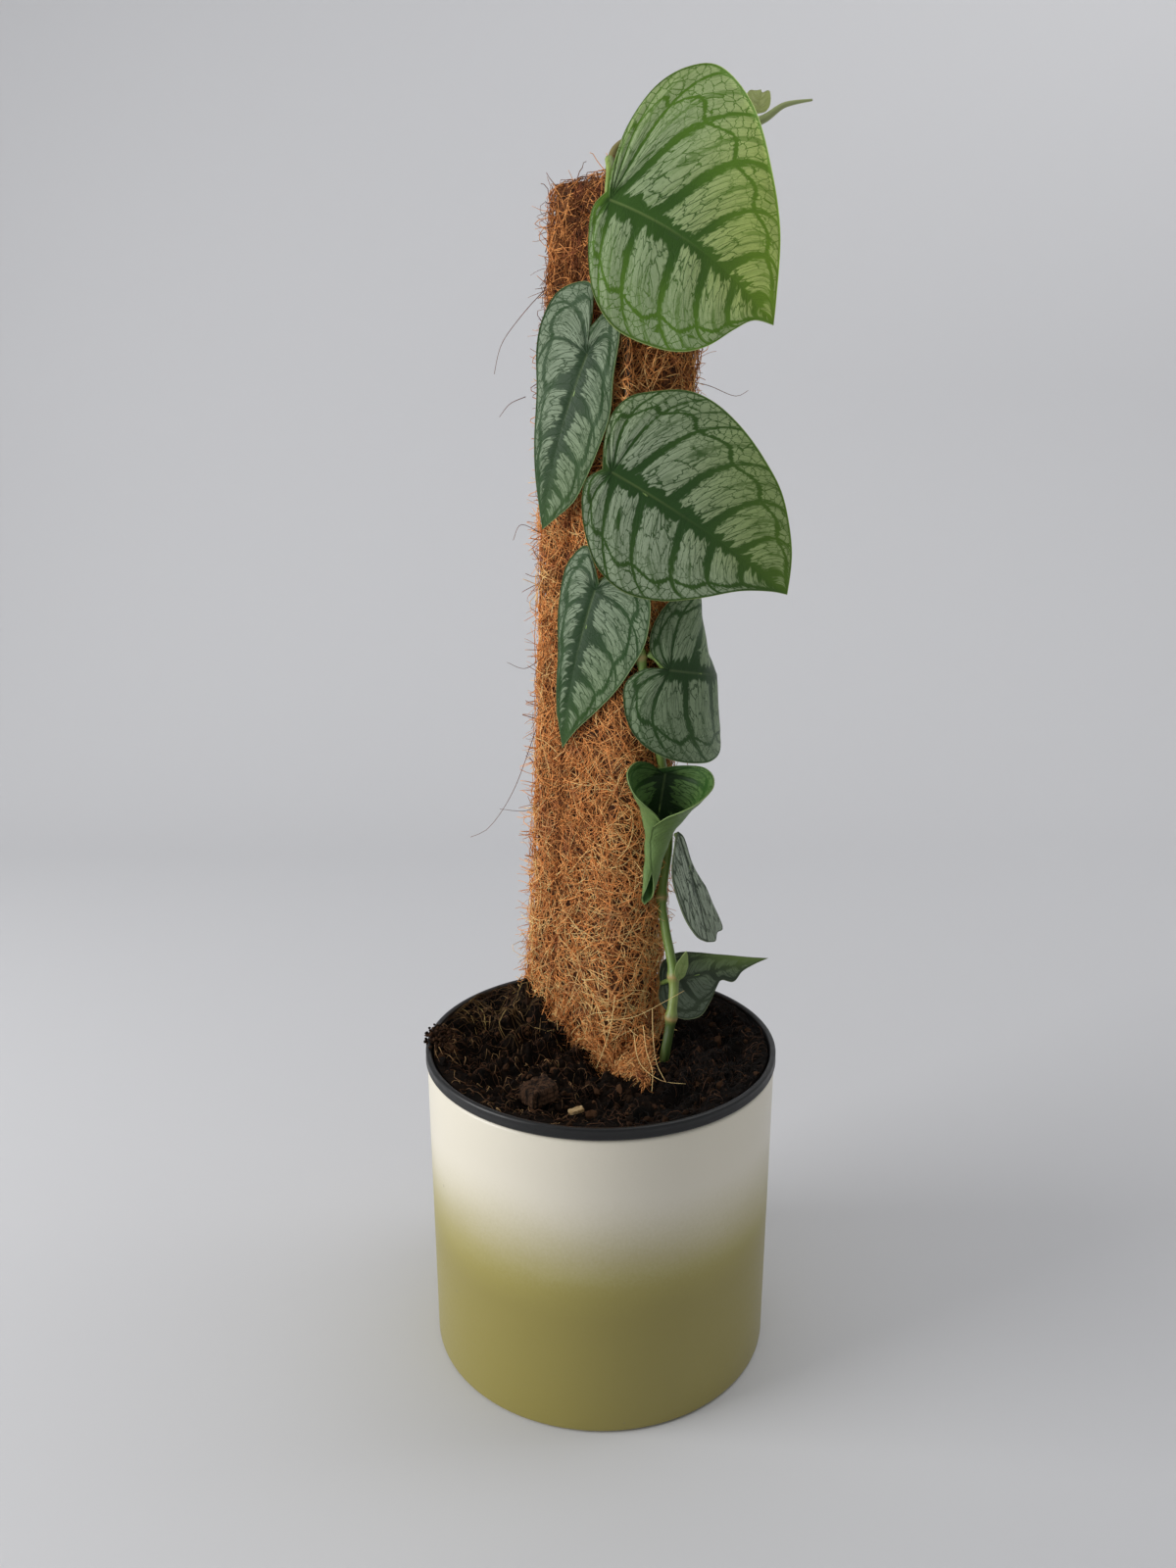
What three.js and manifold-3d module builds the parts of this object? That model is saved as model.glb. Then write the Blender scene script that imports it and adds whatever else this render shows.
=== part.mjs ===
// Potted climbing aroid on a coir pole, in its nursery pot and ceramic cachepot.
// Millimetres, +Z up, origin on the floor under the middle of the cachepot. -Y is the front.
import * as THREE from 'three';
import { mergeVertices } from 'three/addons/utils/BufferGeometryUtils.js';
import Module from 'manifold-3d';

const wasm = await Module();
wasm.setup();

// Driving dimensions
const GAP = 0.3;
const CACHEPOT = { height: 131, topRadius: 74.3, footRadius: 73.2, wall: 4.8, floor: 8, footRound: 2 };
const NURSERY = { rimRadius: 75, rimTop: 136.3, wall: 1.2, lip: 2.6, draft: 0.4, flange: 1.4,
  flangeSlope: 0.9, bodyTopRadius: 68.6, bodyFootRadius: 58, foot: 12,
  drainHoles: 5, drainRadius: 4.5, drainCircle: 32 };
const POLE = { length: 62, width: 34, corner: 13, cornerSteps: 5, turn: 40, bottom: 82, top: 482,
  leanX: 0.0389, centreX: -2.2, centreY: 32, centreZ: 177, seamAt: -9, seamWidth: 1.5, seamStep: 1.6 };
const STAKE = { side: 11, bottom: 26, top: 462 };
const POLE_LEVELS = [POLE.bottom, 128, 136, 150, 190, 240, 290, 340, 390, 440, POLE.top - 3, POLE.top];
const POLE_FLARE = [-0.4, 2.1, 2, 0.6, 0, -0.3, 0, 0.2, 0.2, 0.5, 0.8, -0.8];
const SOIL = { level: 131.5, brim: 3.6, brimFrom: 52, rings: 9, spokes: 48, underside: 14.3, shoulder: 16.5 };
// Rises and hollows of the soil: x, y, reach and height
const SOIL_BUMPS = [[4, -5, 13, -10], [-33, 37, 13, 13], [-23, 24, 11, 8], [42, -14, 18, 3], [26, 4, 9, -4]];
const CHIPS = {
  bark_chip: { finish: 'bark', at: [-25, -47], length: 14, width: 12, height: 6, turn: 0.6, lift: 1.3 },
  wood_chip: { finish: 'wood', at: [-10, -58.5], length: 7, width: 4, height: 2.5, turn: 0.35, lift: 0.8 },
};
const STEM = { sides: 8, steps: 84, footRadius: 2.5, topRadius: 1.7, tipRadius: 0.45, taperFrom: 0.955 };
const BLADE_THICKNESS = 0.8;
const ROUND_STEPS = 48;

// Colours
const FINISH = {
  ceramic: { color: 0xd9d5c4, roughness: 0.5 },
  plastic: { color: 0x23272a, roughness: 0.45 },
  soil: { color: 0x2a1c12, roughness: 1 },
  coir: { color: 0x9a663d, roughness: 1 },
  wood: { color: 0xa98b62, roughness: 0.8 },
  bark: { color: 0x4a3527, roughness: 0.95 },
  stem: { color: 0x6f9150, roughness: 0.5 },
  leaf: { color: 0x5c8458, roughness: 0.45 },
  youngLeaf: { color: 0x86ad4c, roughness: 0.42 },
};

// The leaves. A blade is drawn flat as outline points (along, across) from its sinus to its tip on each
// side, then bent: arch bends it along the midrib, cup across it, and a positive value bends backwards.
const LEAVES = {
  leaf_1: {
    finish: 'youngLeaf', junction: [2.8, 1.5, 469.1], along: [0.803, -0.192, -0.564],
    facing: [-0.12, -0.98, 0.16],
    arch: 0.004, cup: -0.002, tip: [75, 0], sinus: [-3, 2],
    plus: [[-6, 9], [-10, 24], [-9, 40], [-2.5, 52], [7.5, 58], [24, 54], [41, 42], [57, 27], [70, 8]],
    minus: [[-4, -5], [-1, -12], [6, -22], [15, -31], [28, -36], [43, -33], [53, -28], [59.5, -20.5],
      [64, -10], [68, -3]],
    petiole: { radius: 1.3, from: [2.4, 9, 484.5], via: [[2.4, 5, 479.5]] },
  },
  leaf_2: {
    finish: 'leaf', junction: [-5.8, 6.2, 416.2], along: [-0.347, 0.123, -0.93], facing: [-0.49, -0.87, 0.05],
    arch: 0.005, cup: 0.003, tip: [71, 0], sinus: [-8, -3],
    plus: [[-13, -1], [-19, 2], [-17, 7], [-9, 11], [4, 14], [18, 17.5], [32, 17], [43, 15], [54, 12],
      [63, 6]],
    minus: [[-15, -4], [-24, -9], [-22, -17], [-16, -23], [-6, -24.5], [5, -22.5], [20, -17], [37, -12],
      [54, -7]],
    petiole: { radius: 1.3, from: [6.9, 4.9, 424.5], via: [[2.5, 7.2, 425.5], [-2.5, 9, 422]] },
  },
  leaf_3: {
    finish: 'leaf', junction: [3.9, -6.9, 372.7], along: [0.839, -0.024, -0.544], facing: [0.05, -0.99, 0.12],
    arch: 0.003, cup: 0.002, tip: [84, 0], sinus: [-4, -1],
    plus: [[-9, 8], [-12, 18], [-10, 27], [-3, 34], [7, 41], [18, 43.5], [31, 42], [46, 37], [61, 29.5],
      [75, 15.5]],
    minus: [[-7, -8], [-3, -17], [5, -26], [15, -33], [28, -35], [42, -30], [54, -21], [66, -10], [77, -3]],
    petiole: { radius: 1.5, from: [9.7, -1.4, 366], via: [[7.4, -3.8, 367.5]] },
  },
  leaf_4: {
    finish: 'leaf', junction: [-2.7, 3, 327.6], along: [-0.226, 0.187, -0.956], facing: [-0.5, -0.86, -0.05],
    arch: 0.002, cup: 0.006, tip: [71, 0], sinus: [-3, 1],
    plus: [[-10, 5], [-12, 13], [-8, 21], [0, 25], [13, 26], [25, 23], [36, 19], [47, 13], [60, 5]],
    minus: [[-10, -3], [-16, -8], [-11, -13], [-2, -16], [15, -14], [29, -11], [44, -8], [58, -5]],
    petiole: { radius: 1.3, from: [9.9, 1.4, 330], via: [[5, 2, 332.5], [0, 4.6, 331.5]] },
  },
  leaf_5: {
    finish: 'leaf', junction: [27.4, -1.5, 296.7], along: [0.94, 0.29, -0.16], facing: [0.3, -0.95, 0.05],
    arch: 0.032, archGrowth: [0.042, 0.009], cup: 0.002, tip: [56, 0], sinus: [-3, 0.5],
    plus: [[-9, 6], [-10, 14], [-7, 23], [-1, 30], [8, 34], [20, 33], [33, 27], [45, 16]],
    minus: [[-11, -1], [-17, -7], [-17, -15], [-13, -25], [-5, -32], [7, -36], [21, -37], [34, -36],
      [46, -31], [54, -18]],
    petiole: { radius: 1.3, from: [18.6, -0.9, 303.5], via: [[21.6, -0.6, 301.5]] },
  },
  leaf_6: {
    finish: 'leaf', junction: [26.2, 1, 253.5], along: [-0.15, -0.073, -0.98], facing: [0, -1, 0.07],
    arch: -0.002, rolled: [[-8, 18.5], [0, 17], [8, 12.5], [14, 9], [20, 6.2], [27, 4.3], [34, 3.5], [45, 3],
      [55, 1.8]], rollOverlap: 1.2, tip: [55, 0], sinus: [-2, -3.5],
    plus: [[-5, 7], [-6, 17], [-2, 26.5], [5, 30], [13, 27], [20, 22], [27, 19], [34, 16], [45, 12.5]],
    minus: [[-4, -8], [-4, -15], [0, -22], [7, -24], [13, -21], [20, -17.5], [27, -15], [34, -12.5],
      [45, -10]],
    steps: 30, rings: 7, petiole: { radius: 1.3, from: [26.6, 7.7, 235], via: [[26.6, 4.8, 244]] },
  },
  leaf_7: {
    finish: 'leaf', junction: [33.2, 10, 224.5], along: [0.325, -0.02, -0.946], facing: [0.84, -0.5, 0.2],
    arch: 0.002, cup: 0.008, tip: [49, -2], sinus: [-2, 0],
    plus: [[2, 2.5], [14, 3.5], [22, 5.5], [31, 10], [44, 13.5], [51, 15], [50, 9], [52, 5]],
    minus: [[2, -6], [8, -12], [20, -15.5], [31, -14], [42, -10]],
    petiole: { radius: 1.1, from: [32.4, 12.2, 215.5], via: [[33.5, 12.2, 220]] },
  },
  leaf_8: {
    finish: 'leaf', junction: [28, 10.5, 157.5], along: [0.97, 0.16, 0.18], facing: [0.05, -0.86, 0.5],
    arch: 0.002, cup: 0.004, tip: [48, 0], sinus: [-2, 0],
    plus: [[-1, 5], [2, 9.5], [9, 11.5], [18, 9.5], [27, 6.5], [38, 3]],
    minus: [[-4, -6], [-2, -12], [4, -17], [11.5, -17.5], [17, -13], [22, -7], [25, -4.6], [30, -6.5],
      [35, -3], [42, -1]],
    petiole: { radius: 1.1, from: [30.8, 1.9, 161.2], via: [[29.6, 6, 160.6]] },
  },
  new_leaf: {
    finish: 'youngLeaf', junction: [57.4, 15, 502.4], along: [0.1, 0, 1], facing: [0.2, -1, 0],
    arch: 0.01, cup: -0.03, tip: [7, -0.2], sinus: [-1.2, 0.4], steps: 9, rings: 3,
    plus: [[0.5, 3], [4, 5], [6, 4.2], [6.4, 1.8]],
    minus: [[0, -2.9], [2.6, -4.3], [6.6, -3.8], [7, -2.4], [5.9, -1]],
  },
  bract: {
    finish: 'youngLeaf', junction: [33.2, -3.2, 165.6], along: [0.28, 0.12, 0.95], facing: [0.5, -0.86, 0],
    arch: 0.01, cup: 0.1, tip: [12, 0], sinus: [-1, 0], steps: 8, rings: 3,
    plus: [[1, 2.4], [5, 3.2], [9, 1.8]],
    minus: [[1, -2.4], [5, -3.2], [9, -1.8]],
  },
};

// The stem's middle line, from under the soil, up the pole's right front edge, to the growing tip
const STEM_PATH = [
  [25.4, -2.4, 100], [26.9, -6.9, 128], [30.1, -5, 148.5], [31.2, 0, 165.2], [27.8, 7.6, 184],
  [26.4, 12.2, 197], [28.9, 13.6, 220], [26.8, 9, 247], [20.3, 2.2, 281], [15, 0.6, 306], [12.3, 1, 344],
  [10.9, 1.8, 374], [10, 2.8, 402], [9, 4, 428], [5.6, 7.6, 458], [3, 10, 478], [6, 14, 490], [22, 17.5, 495],
  [45, 17, 497], [58.6, 16, 499.3], [67, 14.6, 504], [77.2, 14, 505.6],
];
const STEM_NODES = [148.5, 165.2, 197, 236, 302, 331, 366, 424];
const STEM_NODE_SWELL = 0.5;

// Geometry helpers
function solid(positions, indices) {
  const geometry = new THREE.BufferGeometry();
  geometry.setAttribute('position', new THREE.Float32BufferAttribute(positions, 3));
  geometry.setIndex(indices);
  return outward(geometry);
}

function outward(geometry) {
  geometry.deleteAttribute('normal');
  geometry.deleteAttribute('uv');
  const merged = mergeVertices(geometry, 1e-3);
  const at = merged.getAttribute('position');
  const corner = [new THREE.Vector3(), new THREE.Vector3(), new THREE.Vector3()];
  const kept = [];
  let volume = 0;
  for (let i = 0; i < merged.index.count; i += 3) {
    const ids = [0, 1, 2].map((k) => merged.index.getX(i + k));
    if (ids[0] === ids[1] || ids[1] === ids[2] || ids[2] === ids[0]) continue;
    ids.forEach((id, k) => corner[k].fromBufferAttribute(at, id));
    volume += corner[0].dot(corner[1].clone().cross(corner[2]));
    kept.push(ids);
  }
  merged.setIndex(kept.flatMap((ids) => (volume < 0 ? [ids[0], ids[2], ids[1]] : ids)));
  return merged;
}

function toManifold(geometry) {
  return new wasm.Manifold(new wasm.Mesh({
    numProp: 3,
    vertProperties: new Float32Array(geometry.getAttribute('position').array),
    triVerts: new Uint32Array(geometry.index.array),
  }));
}

function fromManifold(manifold) {
  const mesh = manifold.getMesh();
  return solid(Array.from(mesh.vertProperties), Array.from(mesh.triVerts));
}

function turned(profile) {
  const points = profile.map(([radius, height]) => new THREE.Vector2(radius, height));
  const geometry = new THREE.LatheGeometry(points, ROUND_STEPS);
  geometry.rotateX(Math.PI / 2);
  return outward(geometry);
}

// Joins closed rings of equal length into a skin with a flat cap on each end
function loft(rings) {
  const count = rings[0].length;
  const positions = rings.flat(2);
  const indices = [];
  for (let r = 0; r + 1 < rings.length; r += 1) {
    for (let i = 0; i < count; i += 1) {
      const a = r * count + i;
      const b = r * count + ((i + 1) % count);
      indices.push(a, b, b + count, a, b + count, a + count);
    }
  }
  [0, rings.length - 1].forEach((r) => {
    const middle = positions.length / 3;
    const centre = new THREE.Vector3();
    rings[r].forEach((p) => centre.add(new THREE.Vector3(...p)));
    positions.push(...centre.divideScalar(count).toArray());
    for (let i = 0; i < count; i += 1) {
      const a = r * count + i;
      const b = r * count + ((i + 1) % count);
      indices.push(...(r === 0 ? [middle, b, a] : [middle, a, b]));
    }
  });
  return solid(positions, indices);
}

function tube(points, steps, sides, radiusAt) {
  const curve = new THREE.CatmullRomCurve3(points.map((p) => new THREE.Vector3(...p)), false, 'centripetal');
  const frames = curve.computeFrenetFrames(steps, false);
  const rings = [];
  for (let i = 0; i <= steps; i += 1) {
    const centre = curve.getPointAt(i / steps);
    const radius = radiusAt(i / steps, centre);
    const ring = [];
    for (let k = 0; k < sides; k += 1) {
      const angle = (2 * Math.PI * k) / sides;
      const point = centre.clone()
        .addScaledVector(frames.normals[i], radius * Math.cos(angle))
        .addScaledVector(frames.binormals[i], radius * Math.sin(angle));
      ring.push(point.toArray());
    }
    rings.push(ring);
  }
  return loft(rings);
}

// Pots
function cachepot() {
  const { height, topRadius, footRadius, wall, floor, footRound } = CACHEPOT;
  const profile = [[0, 0], [footRadius - footRound, 0]];
  for (let i = 1; i <= 4; i += 1) {
    const angle = (Math.PI / 2) * (i / 4);
    profile.push([footRadius - footRound + footRound * Math.sin(angle), footRound * (1 - Math.cos(angle))]);
  }
  profile.push([topRadius, height - 1.5], [topRadius - 1.5, height], [topRadius - wall + 1, height]);
  profile.push([topRadius - wall, height - 1], [footRadius - wall - 0.6, floor + 5]);
  profile.push([footRadius - wall - 6, floor], [0, floor]);
  return turned(profile);
}

function nurseryPot() {
  const { rimRadius, rimTop, wall, lip, draft, bodyTopRadius, bodyFootRadius, foot } = NURSERY;
  const underRim = CACHEPOT.height + GAP;
  const flangeTop = underRim + NURSERY.flange;
  const body = turned([
    [0, foot], [bodyFootRadius - 3, foot], [bodyFootRadius, foot + 3], [bodyTopRadius, underRim - 1],
    [bodyTopRadius, underRim], [rimRadius - 0.6, underRim], [rimRadius, underRim + 0.8],
    [rimRadius, rimTop - 1.4], [rimRadius - 0.5, rimTop - 0.4], [rimRadius - 1.3, rimTop],
    [rimRadius - lip + 0.6, rimTop], [rimRadius - lip, rimTop - 0.8], [rimRadius - lip - draft, flangeTop],
    [bodyTopRadius - wall, flangeTop - NURSERY.flangeSlope], [bodyFootRadius - wall, foot + 4.2],
    [bodyFootRadius - wall - 3, foot + wall + 0.8], [0, foot + wall + 0.8],
  ]);
  let pot = toManifold(body);
  for (let i = 0; i < NURSERY.drainHoles; i += 1) {
    const angle = (2 * Math.PI * i) / NURSERY.drainHoles;
    const hole = new THREE.CylinderGeometry(NURSERY.drainRadius, NURSERY.drainRadius, 3 * foot, 12);
    hole.rotateX(Math.PI / 2);
    hole.translate(NURSERY.drainCircle * Math.cos(angle), NURSERY.drainCircle * Math.sin(angle), foot);
    pot = pot.subtract(toManifold(outward(hole)));
  }
  return fromManifold(pot);
}

// The inside radius that the nursery pot leaves for the soil at a height
function soilRadius(z) {
  const bottom = NURSERY.foot + 4.2;
  const top = CACHEPOT.height + GAP + NURSERY.flange - NURSERY.flangeSlope;
  const share = Math.min(Math.max((z - bottom) / (top - bottom), 0), 1);
  const foot = NURSERY.bodyFootRadius - NURSERY.wall;
  return foot + (NURSERY.bodyTopRadius - NURSERY.wall - foot) * share - GAP;
}

// Coir pole
function poleCentre(z) {
  return [POLE.centreX + POLE.leanX * (z - POLE.centreZ), POLE.centreY];
}

function poleSection(z, grow, seam) {
  const turn = THREE.MathUtils.degToRad(POLE.turn);
  const [cx, cy] = poleCentre(z);
  const flatLength = POLE.length / 2 - POLE.corner;
  const flatWidth = POLE.width / 2 - POLE.corner;
  const corner = POLE.corner + grow;
  const section = [];
  const place = (a, b) => section.push([
    cx + a * Math.cos(turn) - b * Math.sin(turn), cy - a * Math.sin(turn) - b * Math.cos(turn), z]);
  const corners = [[1, 1, 0], [-1, 1, 1], [-1, -1, 2], [1, -1, 3]];
  corners.forEach(([sideA, sideB, quarter]) => {
    for (let i = 0; i <= POLE.cornerSteps; i += 1) {
      const angle = (Math.PI / 2) * (quarter + i / POLE.cornerSteps);
      const step = seam && sideB > 0 && sideA < 0 ? POLE.seamStep * Math.sin(angle) : 0;
      const across = sideB * flatWidth + corner * Math.sin(angle) - step;
      place(sideA * flatLength + corner * Math.cos(angle), across);
    }
    if (quarter === 0) {
      place(POLE.seamAt + POLE.seamWidth, flatWidth + corner);
      place(POLE.seamAt, flatWidth + corner - (seam ? POLE.seamStep : 0));
    }
  });
  return section;
}

function coirPole() {
  const pad = toManifold(loft(POLE_LEVELS.map((z, i) => poleSection(z, POLE_FLARE[i], true))));
  return fromManifold(pad.subtract(toManifold(stakePrism(GAP, POLE.bottom - 5, STAKE.top + GAP))));
}

function stakePrism(grow, bottom, top) {
  const half = STAKE.side / 2 + grow;
  const square = (z) => {
    const [cx, cy] = poleCentre(z);
    const sides = [[-half, -half], [half, -half], [half, half], [-half, half]];
    return sides.map(([dx, dy]) => [cx + dx, cy + dy, z]);
  };
  return loft([square(bottom), square(top)]);
}

// The radius of the soil where it fills the rim
const SOIL_BRIM_RADIUS = NURSERY.rimRadius - NURSERY.lip - NURSERY.draft - GAP - 0.1;

// Soil: lumps from a few fixed waves, a hollow at the pole's front corner, soil heaped against the pole's
// left end, and a rise to the rim all round
function soilTop(x, y) {
  const broad = 1.4 * Math.sin(0.21 * x + 1.3) * Math.cos(0.19 * y - 0.6);
  const fine = 0.9 * Math.sin(0.37 * x - 0.31 * y);
  const lumps = SOIL_BUMPS.reduce((rise, [atX, atY, reach, height]) => {
    const away = ((x - atX) ** 2 + (y - atY) ** 2) / reach ** 2;
    return rise + height * Math.exp(-away);
  }, broad + fine);
  const edge = THREE.MathUtils.smoothstep(Math.hypot(x, y), SOIL.brimFrom, SOIL_BRIM_RADIUS);
  return SOIL.level + SOIL.brim * edge + lumps * (1 - 0.8 * edge);
}

function soil() {
  const flangeTop = CACHEPOT.height + GAP + NURSERY.flange;
  const footRadius = NURSERY.bodyFootRadius - NURSERY.wall - 3 - GAP;
  const rings = [
    spokePoints(footRadius, () => SOIL.underside),
    spokePoints(soilRadius(SOIL.shoulder), () => SOIL.shoulder),
    spokePoints(soilRadius(flangeTop), () => flangeTop - 0.6),
    spokePoints(SOIL_BRIM_RADIUS, () => flangeTop + 0.6),
  ];
  for (let r = SOIL.rings; r > 0; r -= 1) {
    rings.push(spokePoints((SOIL_BRIM_RADIUS * r) / SOIL.rings, soilTop));
  }
  let body = toManifold(loft(rings));
  const hole = loft(POLE_LEVELS.slice(0, 4).map((z, i) => {
    const below = i === 0 ? GAP : 0;
    const flare = i === 3 ? POLE_FLARE[2] : POLE_FLARE[i];
    return poleSection(z - below, flare + GAP, false);
  }));
  body = body.subtract(toManifold(hole));
  body = body.subtract(toManifold(stakePrism(GAP, STAKE.bottom - GAP, POLE.bottom + 5)));
  const stemHole = STEM_PATH.slice(0, 3);
  stemHole.unshift([stemHole[0][0] - 0.4, stemHole[0][1] + 0.6, stemHole[0][2] - 3]);
  body = body.subtract(toManifold(tube(stemHole, 10, 10, () => STEM.footRadius + 0.6)));
  return fromManifold(largest(body));
}

function largest(manifold) {
  return manifold.decompose().sort((a, b) => b.volume() - a.volume())[0];
}

function spokePoints(radius, heightAt) {
  const ring = [];
  for (let i = 0; i < SOIL.spokes; i += 1) {
    const angle = (2 * Math.PI * i) / SOIL.spokes;
    const x = radius * Math.cos(angle);
    const y = radius * Math.sin(angle);
    ring.push([x, y, heightAt(x, y)]);
  }
  return ring;
}

// A rough chip whose underside follows the soil just below it
function chip({ at, length, width, height, turn, lift: seatLift }) {
  const [atX, atY] = at;
  const seat = (x, y) => soilTop(x, y) + seatLift;
  const ring = (share, lift) => {
    const points = [];
    for (let i = 0; i < 7; i += 1) {
      const angle = (2 * Math.PI * i) / 7;
      const ragged = 1 + 0.18 * Math.sin(5 * angle + atX);
      const a = (length / 2) * share * ragged * Math.cos(angle);
      const b = (width / 2) * share * ragged * Math.sin(angle);
      const x = atX + a * Math.cos(turn) - b * Math.sin(turn);
      const y = atY + a * Math.sin(turn) + b * Math.cos(turn);
      points.push([x, y, seat(x, y) + lift + 0.12 * a * share]);
    }
    return points;
  };
  return loft([ring(0.8, 0.1), ring(1, height * 0.35), ring(0.85, height)]);
}

// Stem, with a slight swelling at each node
function stem() {
  return tube(STEM_PATH, STEM.steps, STEM.sides, (share, centre) => {
    const body = THREE.MathUtils.lerp(STEM.footRadius, STEM.topRadius, Math.min(share / 0.75, 1));
    const taper = Math.max(0, (share - STEM.taperFrom) / (1 - STEM.taperFrom));
    const swell = STEM_NODES.reduce((most, z) => {
      const away = (centre.z - z) / 3;
      return Math.max(most, STEM_NODE_SWELL * Math.exp(-away * away));
    }, 0);
    return THREE.MathUtils.lerp(body, STEM.tipRadius, taper) + (share < 0.8 ? swell : 0);
  });
}

// Leaves
function rollRadius(table, along) {
  const last = table.length - 1;
  if (along <= table[0][0]) return table[0][1];
  if (along >= table[last][0]) return table[last][1];
  const i = table.findIndex(([at]) => at > along);
  const [from, low] = table[i - 1];
  const [to, high] = table[i];
  return low + ((high - low) * (along - from)) / (to - from);
}

function bladePoint(leaf, along, across) {
  const facing = leaf.frame.facing;
  const [plusGrowth, minusGrowth] = leaf.archGrowth ?? [0, 0];
  const arch = leaf.arch * (1 + Math.max(across, 0) * plusGrowth + Math.min(across, 0) * minusGrowth);
  const angle = along * arch;
  const point = new THREE.Vector3(...leaf.junction);
  const reach = Math.abs(arch) > 1e-6 ? Math.sin(angle) / arch : along;
  const drop = Math.abs(arch) > 1e-6 ? (1 - Math.cos(angle)) / arch : 0;
  point.addScaledVector(leaf.frame.along, reach).addScaledVector(facing, -drop);
  const normal = facing.clone().multiplyScalar(Math.cos(angle));
  normal.addScaledVector(leaf.frame.along, Math.sin(angle));
  let cup = leaf.cup ?? 0;
  if (leaf.rolled) {
    const overlap = across > 0 ? leaf.rollOverlap : 0;
    cup = -1 / (rollRadius(leaf.rolled, along) + overlap);
  }
  const side = Math.abs(cup) > 1e-6 ? Math.sin(across * cup) / cup : across;
  const rise = Math.abs(cup) > 1e-6 ? -(1 - Math.cos(across * cup)) / cup : 0;
  return point.addScaledVector(leaf.frame.across, side).addScaledVector(normal, rise);
}

function bladeNormal(leaf, along, across) {
  const step = 0.2;
  const down = bladePoint(leaf, along + step, across).sub(bladePoint(leaf, along - step, across));
  const over = bladePoint(leaf, along, across + step).sub(bladePoint(leaf, along, across - step));
  return down.cross(over).normalize();
}

function bladeRim(leaf, steps) {
  const sinus = new THREE.Vector2(...leaf.sinus);
  const tip = new THREE.Vector2(...leaf.tip);
  const side = (points) => new THREE.SplineCurve([sinus, ...points.map((p) => new THREE.Vector2(...p)), tip])
    .getSpacedPoints(steps);
  const plus = side(leaf.plus);
  const minus = side(leaf.minus);
  return [...plus, ...minus.slice(1, -1).reverse()];
}

function blade(leaf) {
  const steps = leaf.steps ?? 20;
  const rings = leaf.rings ?? 4;
  const rim = bladeRim(leaf, steps);
  const flat = [[0, 0]];
  for (let r = 1; r <= rings; r += 1) {
    rim.forEach((p) => flat.push([(p.x * r) / rings, (p.y * r) / rings]));
  }
  const positions = [];
  [0.5, -0.5].forEach((face) => flat.forEach(([along, across]) => {
    const normal = bladeNormal(leaf, along, across);
    const point = bladePoint(leaf, along, across).addScaledVector(normal, face * BLADE_THICKNESS);
    positions.push(...point.toArray());
  }));
  const count = rim.length;
  const under = flat.length;
  const indices = [];
  const both = (a, b, c) => indices.push(a, b, c, a + under, c + under, b + under);
  for (let i = 0; i < count; i += 1) {
    const next = (i + 1) % count;
    both(0, 1 + i, 1 + next);
    for (let r = 1; r < rings; r += 1) {
      const inner = 1 + (r - 1) * count;
      const outer = inner + count;
      both(inner + i, outer + i, outer + next);
      both(inner + i, outer + next, inner + next);
    }
    const edge = 1 + (rings - 1) * count;
    indices.push(edge + i, edge + i + under, edge + next, edge + next, edge + i + under, edge + next + under);
  }
  return solid(positions, indices);
}

function leafSolid(leaf) {
  const along = new THREE.Vector3(...leaf.along).normalize();
  const facing = new THREE.Vector3(...leaf.facing);
  facing.addScaledVector(along, -facing.dot(along)).normalize();
  leaf.frame = { along, facing, across: facing.clone().cross(along) };
  const body = blade(leaf);
  if (!leaf.petiole) return body;
  const { radius, from, via } = leaf.petiole;
  const side = Math.sign(bladeNormal(leaf, 0, 0).dot(facing));
  const under = (distance, depth) => bladePoint(leaf, distance, 0)
    .addScaledVector(bladeNormal(leaf, distance, 0), -depth * side).toArray();
  const path = [from, ...via, under(-1, radius + 0.2), under(7, radius - 0.2)];
  const stalk = tube(path, 9, 7, (share) => THREE.MathUtils.lerp(radius, 0.55 * radius, share * share));
  return fromManifold(toManifold(body).add(toManifold(stalk)));
}

// The whole plant
const plant = new THREE.Group();

function add(name, geometry, finish) {
  const mesh = new THREE.Mesh(geometry, new THREE.MeshStandardMaterial({ ...FINISH[finish], metalness: 0 }));
  mesh.name = name;
  plant.add(mesh);
}

add('cachepot', cachepot(), 'ceramic');
add('nursery_pot', nurseryPot(), 'plastic');
add('soil', soil(), 'soil');
add('coir_pole', coirPole(), 'coir');
add('pole_stake', stakePrism(0, STAKE.bottom, STAKE.top), 'wood');
add('stem', stem(), 'stem');
Object.entries(CHIPS).forEach(([name, flake]) => add(name, chip(flake), flake.finish));
Object.entries(LEAVES).forEach(([name, leaf]) => add(name, leafSolid(leaf), leaf.finish));

export default plant;
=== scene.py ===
"""Looks of a potted climbing aroid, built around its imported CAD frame.

Lengths are in millimetres until a mesh is made, and in metres in the materials. -Y is the front, +Z is up.
"""

import math

import bmesh
import bpy
import numpy as np
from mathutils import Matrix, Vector, kdtree, noise


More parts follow.
